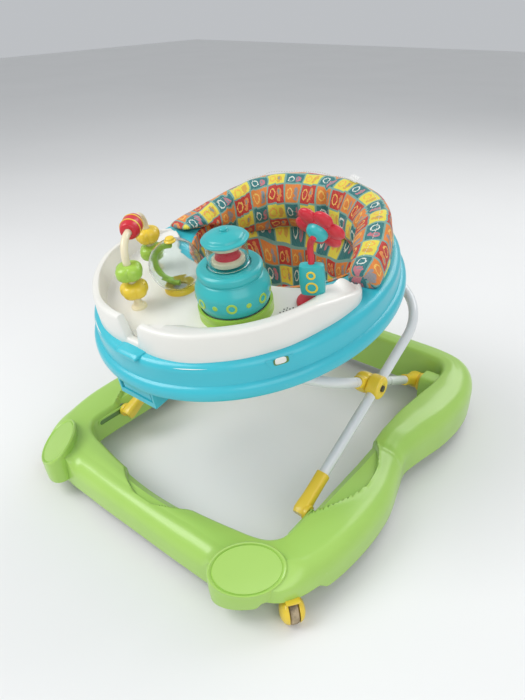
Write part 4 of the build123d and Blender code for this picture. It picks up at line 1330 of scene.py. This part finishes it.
def seatRing(name):
    # crescent pad: closed sections from one front tip round the back to the other
    rows = [padPoints(mix(radians(4.6), radians(174.4), i / 150), 64) for i in range(151)]
    for row in (rows[0], rows[-1]):  # draw in the two ends
        middle = sum((Vector(q) for q in row), Vector()) / len(row)
        row[:] = [tuple(middle.lerp(Vector(q), 0.86)) for q in row]
    return gridPiece(name, rows, printMaterial, trayMatrix, False, True, True)


def slingPoint(t, f):
    # f runs from the hem down to the soft bottom
    levels = ((0.0, 57.5, 176, 150, 0), (0.12, 30, 174, 148, 0), (0.32, -20, 157, 137, 4),
              (0.52, -70, 133, 119, 8), (0.68, -110, 112, 102, 13), (0.80, -140, 96, 88, 17),
              (0.90, -157, 80, 74, 20), (1.0, -163, 8, 8, 20))
    for p, q in zip(levels, levels[1:]):
        if f <= q[0]:
            k = (f - p[0]) / (q[0] - p[0])
            h, a, b, shift = (mix(p[i], q[i], k) for i in (1, 2, 3, 4))
            break
    sag = smooth(0.2, 0.5, f)
    fold = 1 + sag * (0.020 * sin(7 * t + f * 4) + 0.012 * sin(17 * t - f * 9) - 0.02)
    swell = 15 * smooth(0.1, 0.8, sin(t)) * exp(-((h + 34) / 34) ** 2)
    return a * fold * cos(t), 92 + shift + b * fold * sin(t) - swell, h


def inLegHole(x, y, h):
    return y < 92 and hypot((abs(x) - 50) / 40, (h + 113) / 38) < 1


def seatSling(name):
    # sewn seat below the tray: one skin with two leg holes, given its thickness at the end
    columns, levels = 168, 72
    rows = [[slingPoint(2 * pi * i / columns, k / levels) for k in range(levels + 1)] for i in range(columns)]
    obj = gridPiece(name, rows, printMaterial, trayMatrix, True, False)
    back = trayMatrix.inverted()
    work = bmesh.new()
    work.from_mesh(obj.data)
    bmesh.ops.delete(work, geom=[f for f in work.faces if inLegHole(*(back @ f.calc_center_median()))],
                     context="FACES")
    edges = [e for e in work.edges if e.is_boundary]
    for _ in range(3):  # round the cut edge
        bmesh.ops.smooth_vert(work, verts=list({v for e in edges for v in e.verts if (back @ v.co).z < 0}),
                              factor=0.5, use_axis_x=True, use_axis_y=True, use_axis_z=True)
    bmesh.ops.holes_fill(work, edges=[e for e in work.edges if e.is_boundary
                                      and all((back @ v.co).z < -150 for v in e.verts)], sides=0)
    work.to_mesh(obj.data)
    work.free()
    wall = obj.modifiers.new("wall", "SOLIDIFY")
    wall.thickness, wall.offset = 0.0038, 0.0
    bakeModifiers(obj)
    return obj


def puffed(obj, cap, pressure):
    # swell the closed form a little with a short cloth run, hold each point near its start, and apply it
    remesh = obj.modifiers.new("even", "REMESH")
    remesh.mode = "VOXEL"
    remesh.voxel_size = seatShape["voxel"]
    bakeModifiers(obj)
    start = [v.co.copy() for v in obj.data.vertices]
    cloth = obj.modifiers.new("puff", "CLOTH")
    cloth.settings.use_pressure = True
    cloth.settings.uniform_pressure_force = pressure
    cloth.settings.effector_weights.gravity = 0
    cloth.settings.quality = 5
    cloth.settings.mass = 0.3
    cloth.settings.tension_stiffness = 12
    cloth.settings.compression_stiffness = 12
    cloth.settings.bending_stiffness = 1.5
    for step in range(1, seatShape["frames"] + 1):
        bpy.context.scene.frame_set(step)
    bakeModifiers(obj)
    bpy.context.scene.frame_set(1)
    for v, was in zip(obj.data.vertices, start):
        move = v.co - was
        if move.length > cap:
            v.co = was + move.normalized() * cap
    return obj


def subdivided(obj):
    division = obj.modifiers.new("soften", "SUBSURF")
    division.levels = division.render_levels = 1
    bakeModifiers(obj)
    for face in obj.data.polygons:
        face.use_smooth = True


def padLengths(columns, count):
    # surface points of the pad with the length along it and the length over its section from the crest
    samples, along, last = [], 0.0, None
    for i in range(columns + 1):
        t = mix(radians(3), radians(176), i / columns)
        row = [Vector(q) for q in padPoints(t, count)]
        middle = row[int(count * 0.42)]
        along += (middle - last).length if last else 0.0
        last = middle
        over = [0.0]
        for p, q in zip(row, row[1:]):
            over.append(over[-1] + (q - p).length)
        top = max(range(count), key=lambda k: row[k].z)
        samples += [(row[k], row[(k + 1) % count] - row[k - 1], along, over[k] - over[top])
                    for k in range(count)]
    return samples


def printUV(obj, kind):
    back = trayMatrix.inverted()
    layer = obj.data.uv_layers.get("printUV") or obj.data.uv_layers.new(name="printUV")
    pitch = seatShape["pitch"]
    values = []
    if kind == "back":
        samples = padLengths(200, 96)
        tree = kdtree.KDTree(len(samples))
        for i, row in enumerate(samples):
            tree.insert(row[0], i)
        tree.balance()
    for v in obj.data.vertices:
        p = back @ v.co
        if kind == "back":
            i = tree.find(p)[1]
            place, down, along, over = samples[i]
            following = samples[(i + 96) % len(samples)][0] - samples[i - 96][0]
            drift = (p - place).dot(following.normalized()) if 96 <= i < len(samples) - 96 else 0.0
            values.append(((along + drift) / pitch, (over + (p - place).dot(down.normalized())) / pitch
                           + 0.35))
        else:
            values.append((atan2(p.y - 92, p.x) * 150 / pitch,
                           (p.z - 0.9 * min(hypot(p.x, p.y - 92), 150)) / pitch))
    for loop in obj.data.loops:
        layer.data[loop.index].uv = values[loop.vertex_index]
    seamFix(obj, layer)


def seamFix(obj, layer):
    # where the measure starts again, a face takes the values of its far side so nothing is smeared
    for axis in (0, 1):
        for poly in obj.data.polygons:
            low = min(layer.data[i].uv[axis] for i in poly.loop_indices)
            high = max(layer.data[i].uv[axis] for i in poly.loop_indices)
            if high - low > 3:
                for i in poly.loop_indices:
                    layer.data[i].uv[axis] = high


def crestPath(lift):
    # a line that runs along the pad's crest
    return [padTop(mix(radians(9), radians(170), k / 120), lift) for k in range(121)]


def paddedSeat():
    pad = seatRing("seatPad")
    puffed(pad, seatShape["cap"], seatShape["pressure"])
    subdivided(pad)
    printUV(pad, "back")
    pad.data.materials.clear()
    pad.data.materials.append(printMaterial)
    keep(pad, "tray", "seat_print", "seat_back")
    sling = seatSling("seatSling")
    for face in sling.data.polygons:
        face.use_smooth = True
    printUV(sling, "sling")
    keep(sling, "tray", "seat_print", "seat_bucket")


paddedSeat()
print("seat made")


# geometry nodes: repeats along lines and on points
def newTree(name, inputs):
    tree = bpy.data.node_groups.new(name, "GeometryNodeTree")
    tree.interface.new_socket("Geometry", in_out="INPUT", socket_type="NodeSocketGeometry")
    for label, kind, value in inputs:
        tree.interface.new_socket(label, in_out="INPUT", socket_type=kind).default_value = value
    tree.interface.new_socket("Geometry", in_out="OUTPUT", socket_type="NodeSocketGeometry")
    return tree, tree.nodes.new("NodeGroupInput"), tree.nodes.new("NodeGroupOutput")


def stitchTree(material):
    # short thread loops laid end to end along a line
    tree, src, out = newTree("stitchRow", [("Spacing", "NodeSocketFloat", 0.005),
                                           ("Length", "NodeSocketFloat", 0.003),
                                           ("Thickness", "NodeSocketFloat", 0.0006),
                                           ("Seed", "NodeSocketInt", 3)])
    links, nodes = tree.links, tree.nodes
    curve = nodes.new("GeometryNodeMeshToCurve")
    points = nodes.new("GeometryNodeCurveToPoints")
    points.mode = "LENGTH"
    thread = nodes.new("GeometryNodeMeshUVSphere")
    thread.inputs["Segments"].default_value = 8
    thread.inputs["Rings"].default_value = 6
    thread.inputs["Radius"].default_value = 1.0
    instance = nodes.new("GeometryNodeInstanceOnPoints")
    size = nodes.new("ShaderNodeCombineXYZ")
    jitter = nodes.new("FunctionNodeRandomValue")
    jitter.inputs[2].default_value, jitter.inputs[3].default_value = 0.85, 1.1
    half = mathNode(tree, "MULTIPLY", src.outputs["Length"], 0.5)
    length = mathNode(tree, "MULTIPLY", half, jitter.outputs[1])
    links.new(src.outputs["Seed"], jitter.inputs["Seed"])
    links.new(src.outputs["Thickness"], size.inputs[0])
    links.new(src.outputs["Thickness"], size.inputs[1])
    links.new(length, size.inputs[2])
    links.new(src.outputs["Geometry"], curve.inputs[0])
    links.new(curve.outputs[0], points.inputs[0])
    links.new(src.outputs["Spacing"], points.inputs["Length"])
    links.new(points.outputs["Points"], instance.inputs["Points"])
    links.new(thread.outputs[0], instance.inputs["Instance"])
    links.new(points.outputs["Rotation"], instance.inputs["Rotation"])
    links.new(size.outputs[0], instance.inputs["Scale"])
    finishTree(tree, instance.outputs[0], out, material)
    return tree


def finishTree(tree, geometry, out, material):
    real = tree.nodes.new("GeometryNodeRealizeInstances")
    paintNode = tree.nodes.new("GeometryNodeSetMaterial")
    paintNode.inputs["Material"].default_value = material
    soft = tree.nodes.new("GeometryNodeSetShadeSmooth")
    tree.links.new(geometry, real.inputs[0])
    tree.links.new(real.outputs[0], soft.inputs[0])
    tree.links.new(soft.outputs[0], paintNode.inputs[0])
    tree.links.new(paintNode.outputs[0], out.inputs[0])


def ringTree(name, material):
    # copies of a rounded blade set round a circle, such as petals or ribs
    tree, src, out = newTree(name, [("Count", "NodeSocketInt", 6), ("Ring", "NodeSocketFloat", 0.026),
                                    ("Blade", "NodeSocketVector", (0.014, 0.014, 0.007))])
    links, nodes = tree.links, tree.nodes
    circle = nodes.new("GeometryNodeMeshCircle")
    blade = nodes.new("GeometryNodeMeshUVSphere")
    blade.inputs["Segments"].default_value = 28
    blade.inputs["Rings"].default_value = 16
    blade.inputs["Radius"].default_value = 1.0
    instance = nodes.new("GeometryNodeInstanceOnPoints")
    facing = nodes.new("FunctionNodeAlignRotationToVector")
    facing.axis = "X"
    place = nodes.new("GeometryNodeInputPosition")
    links.new(src.outputs["Count"], circle.inputs["Vertices"])
    links.new(src.outputs["Ring"], circle.inputs["Radius"])
    links.new(place.outputs[0], facing.inputs["Vector"])
    links.new(circle.outputs[0], instance.inputs["Points"])
    links.new(blade.outputs[0], instance.inputs["Instance"])
    links.new(facing.outputs[0], instance.inputs["Rotation"])
    links.new(src.outputs["Blade"], instance.inputs["Scale"])
    finishTree(tree, instance.outputs[0], out, material)
    return tree


def pipTree(material):
    # low round pips on each point of the input
    tree, src, out = newTree("pipField", [("Radius", "NodeSocketFloat", 0.001),
                                          ("Height", "NodeSocketFloat", 0.0006)])
    cylinder = tree.nodes.new("GeometryNodeMeshCylinder")
    cylinder.inputs["Vertices"].default_value = 12
    instance = tree.nodes.new("GeometryNodeInstanceOnPoints")
    turn = tree.nodes.new("FunctionNodeAlignRotationToVector")
    turn.axis = "Z"
    normal = tree.nodes.new("GeometryNodeInputNormal")
    tree.links.new(normal.outputs[0], turn.inputs["Vector"])
    tree.links.new(src.outputs["Radius"], cylinder.inputs["Radius"])
    tree.links.new(src.outputs["Height"], cylinder.inputs["Depth"])
    tree.links.new(src.outputs["Geometry"], instance.inputs["Points"])
    tree.links.new(cylinder.outputs[0], instance.inputs["Instance"])
    tree.links.new(turn.outputs[0], instance.inputs["Rotation"])
    finishTree(tree, instance.outputs[0], out, material)
    return tree


def runTree(name, tree, values, points, edges, matrix, after=None):
    # runs the tree on a few points or a line and keeps the result as a plain mesh
    mesh = bpy.data.meshes.new(name)
    mesh.from_pydata([matrix @ Vector(p) for p in points], edges, [])
    obj = bpy.data.objects.new(name, mesh)
    bpy.context.scene.collection.objects.link(obj)
    modifier = obj.modifiers.new("repeat", "NODES")
    modifier.node_group = tree
    for item in tree.interface.items_tree:
        if item.item_type == "SOCKET" and item.in_out == "INPUT" and item.name in values:
            modifier[item.identifier] = values[item.name]
    graph = bpy.context.evaluated_depsgraph_get()
    made = bpy.data.meshes.new_from_object(obj.evaluated_get(graph))
    obj.modifiers.clear()
    obj.data = made
    if after is not None:
        obj.data.transform(after)
    return obj


def stitchLine(name, pts, matrix, body, slotName, **values):
    edges = [(i, i + 1) for i in range(len(pts) - 1)]
    return keep(runTree(name, stitches, values, pts, edges, matrix), body, slotName)


def speakerPips():
    # small oval field of dots on the toy tray's right-hand part
    spots = [(146 + 5 * i + 2.5 * (j % 2), -112 + 5 * j) for i in range(9) for j in range(7)]
    spots = [(x + 0.1 / 3, y + 0.1 / 3, 66.5) for x, y in spots if hypot((x - 166) / 22, (y + 97) / 17) < 1]
    tree = pipTree(moulded("pipGrey", (0.16, 0.16, 0.15), (0.10, 0.10, 0.10)))
    pips = runTree("speakerPips", tree, {"Radius": 0.0011, "Height": 0.0008}, spots, [], trayMatrix)
    return keep(pips, "toy_tray", "white_moulding")


def flower():
    matrix = flowerMatrix()
    blades = {"Count": 6, "Ring": 0.0245, "Blade": (0.0155, 0.0152, 0.0068)}
    place = matrix @ Matrix.Translation((0, 0, 4)) @ Matrix.Diagonal((1000, 1000, 1000, 1))
    petals = runTree("flowerPetals", ringTree("petalRing", plastic["red"]), blades, [(0, 0, 0)], [],
                     Matrix.Identity(4), place)
    keep(petals, "flower", "red_toy", "flower_head")
    heart = rounded([(0, -2), (18, -2), (20, 1), (20, 6), (15, 10.6), (0, 11)], [1, 2, 4, 5], 6)
    keep(turned("flowerHeart", heart, plastic["red"], matrix, 48), "flower", "red_toy")
    eye = rounded([(0, 8), (12.4, 8), (12.4, 10.4), (9, 12.8), (0, 13.2)], [0.5, 2, 4], 5)
    squashed = matrix @ Matrix.Diagonal((1.15, 0.8, 0.84, 1))
    keep(turned("flowerEye", eye, plastic["turquoise"], squashed, 48), "flower", "turquoise_toy")
    back = rounded([(0, -13), (9, -12.6), (15, -9), (16.5, -4), (16.5, 1), (0, 1)], [4, 3, 3, 1], 5)
    keep(turned("flowerBackEye", back, plastic["turquoise"], matrix, 48), "flower", "turquoise_toy")


seatTrim = {"piping": 2.0, "spread": (1.07, 1.06), "drop": 9.5, "stitchLift": 6.0, "tagTurn": 66.0,
            "tagLift": 4.0}


def seatEdges():
    # piping behind the crest and a row of stitches along it
    wide, deep = seatTrim["spread"]
    path = [(x * wide, y * deep, z - seatTrim["drop"]) for x, y, z in crestPath(0)]
    keep(sweptTube("seatPiping", path, seatTrim["piping"], pipingMaterial, trayMatrix, 12), "tray",
         "seat_print")
    stitchLine("crestStitches", crestPath(seatTrim["stitchLift"]), trayMatrix, "tray", "seat_print",
               Spacing=0.005, Length=0.0034, Thickness=0.0006, Seed=3)


def seatTag():
    # plain white care label sewn into the crest, folded over
    t = radians(seatTrim["tagTurn"])
    base, side = Vector(padTop(t, seatTrim["tagLift"])), Vector((-sin(t), cos(t), 0))
    rows = []
    for k in range(9):
        f = k / 8
        top = base + Vector((cos(t), sin(t), 0)) * (3 + 16 * f) + Vector((0, 0, 5 * sin(pi * f * 0.8) - 1.5))
        section = ((-12, 0), (-11.6, 0.5), (0, 0.9 + 0.5 * sin(3 * f)), (11.6, 0.5), (12, 0), (0, -0.2))
        rows.append([tuple(top + side * w + Vector((0, 0, lift))) for w, lift in section])
    return keep(gridPiece("seatTag", rows, tagMaterial, trayMatrix, False, True, True), "tray", "seat_print")


stitches = stitchTree(threadMaterial)
flower()
speakerPips()
seatEdges()
seatTag()
print("repeats made")


# CAD nodes that stay, with better finishes
def finishNodes():
    looks = {"grip_strip_front": rubberMaterial, "grip_strip_rear": rubberMaterial,
             "height_track": plastic["blue"], "height_lever": plastic["blue"]}
    for side in ("left", "right"):
        looks["grip_strip_" + side] = rubberMaterial
        looks["rear_hanger_" + side] = plastic["blue"]
        looks["pivot_pin_" + side] = brightSteel
        looks["rear_axle_" + side] = brightSteel
        looks["caster_stem_" + side] = brightSteel
        looks["hub_rivet_" + side] = darkSteel
    for name, material in looks.items():
        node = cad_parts[name]
        node.data.materials.clear()
        node.data.materials.append(material)


finishNodes()


# floor, light and camera
def floorAndLight():
    material, tree, shader = startMaterial("paleFloor", Roughness=0.6)
    coords = tree.nodes.new("ShaderNodeTexCoord").outputs["Object"]
    cloud = noiseNode(tree, 1.5, 3.0, coords).outputs["Fac"]
    tree.links.new(mixColor(tree, cloud, (0.78, 0.78, 0.77, 1), (0.83, 0.83, 0.82, 1)),
                   shader.inputs["Base Color"])
    mesh = bpy.data.meshes.new("floor")
    mesh.from_pydata([(-9, -9, 0), (9, -9, 0), (9, 9, 0), (-9, 9, 0)], [], [(0, 1, 2, 3)])
    floor = bpy.data.objects.new("floor", mesh)
    floor.data.materials.append(material)
    bpy.context.scene.collection.objects.link(floor)
    world = bpy.data.worlds.new("studio")
    world.use_nodes = True
    world.node_tree.nodes["Background"].inputs["Color"].default_value = (0.93, 0.96, 1.0, 1)
    world.node_tree.nodes["Background"].inputs["Strength"].default_value = 0.55
    bpy.context.scene.world = world
    for name, place, power, size in (("keyLight", (-1.3, -1.6, 2.4), 46, 1.6),
                                     ("fillLight", (1.9, -1.2, 1.7), 22, 2.0),
                                     ("backLight", (0.3, 2.1, 2.2), 26, 1.6)):
        light = bpy.data.lights.new(name, "AREA")
        light.energy, light.size = power, size
        obj = bpy.data.objects.new(name, light)
        obj.location = place
        obj.rotation_euler = (Vector((0, 0, 0.25)) - Vector(place)).to_track_quat("-Z", "Y").to_euler()
        bpy.context.scene.collection.objects.link(obj)


def camera():
    view = {"at": (0.61383, -0.75625, 0.81736), "target": (-0.0294, 0.0276, 0.1900), "lens": 29.79,
            "roll": -1.25}
    data = bpy.data.cameras.new("camera")
    data.lens, data.sensor_width, data.sensor_fit = view["lens"], 36.0, "AUTO"
    obj = bpy.data.objects.new("camera", data)
    bpy.context.scene.collection.objects.link(obj)
    place, target = Vector(view["at"]), Vector(view["target"])
    back = (place - target).normalized()
    right = Vector((0, 0, 1)).cross(back).normalized()
    up = back.cross(right)
    r = radians(view["roll"])
    right, up = right * cos(r) + up * sin(r), up * cos(r) - right * sin(r)
    m = Matrix((right, up, back)).transposed().to_4x4()
    m.translation = place
    obj.matrix_world = m
    bpy.context.scene.camera = obj


floorAndLight()
camera()
bpy.context.scene.view_settings.view_transform = "Standard"
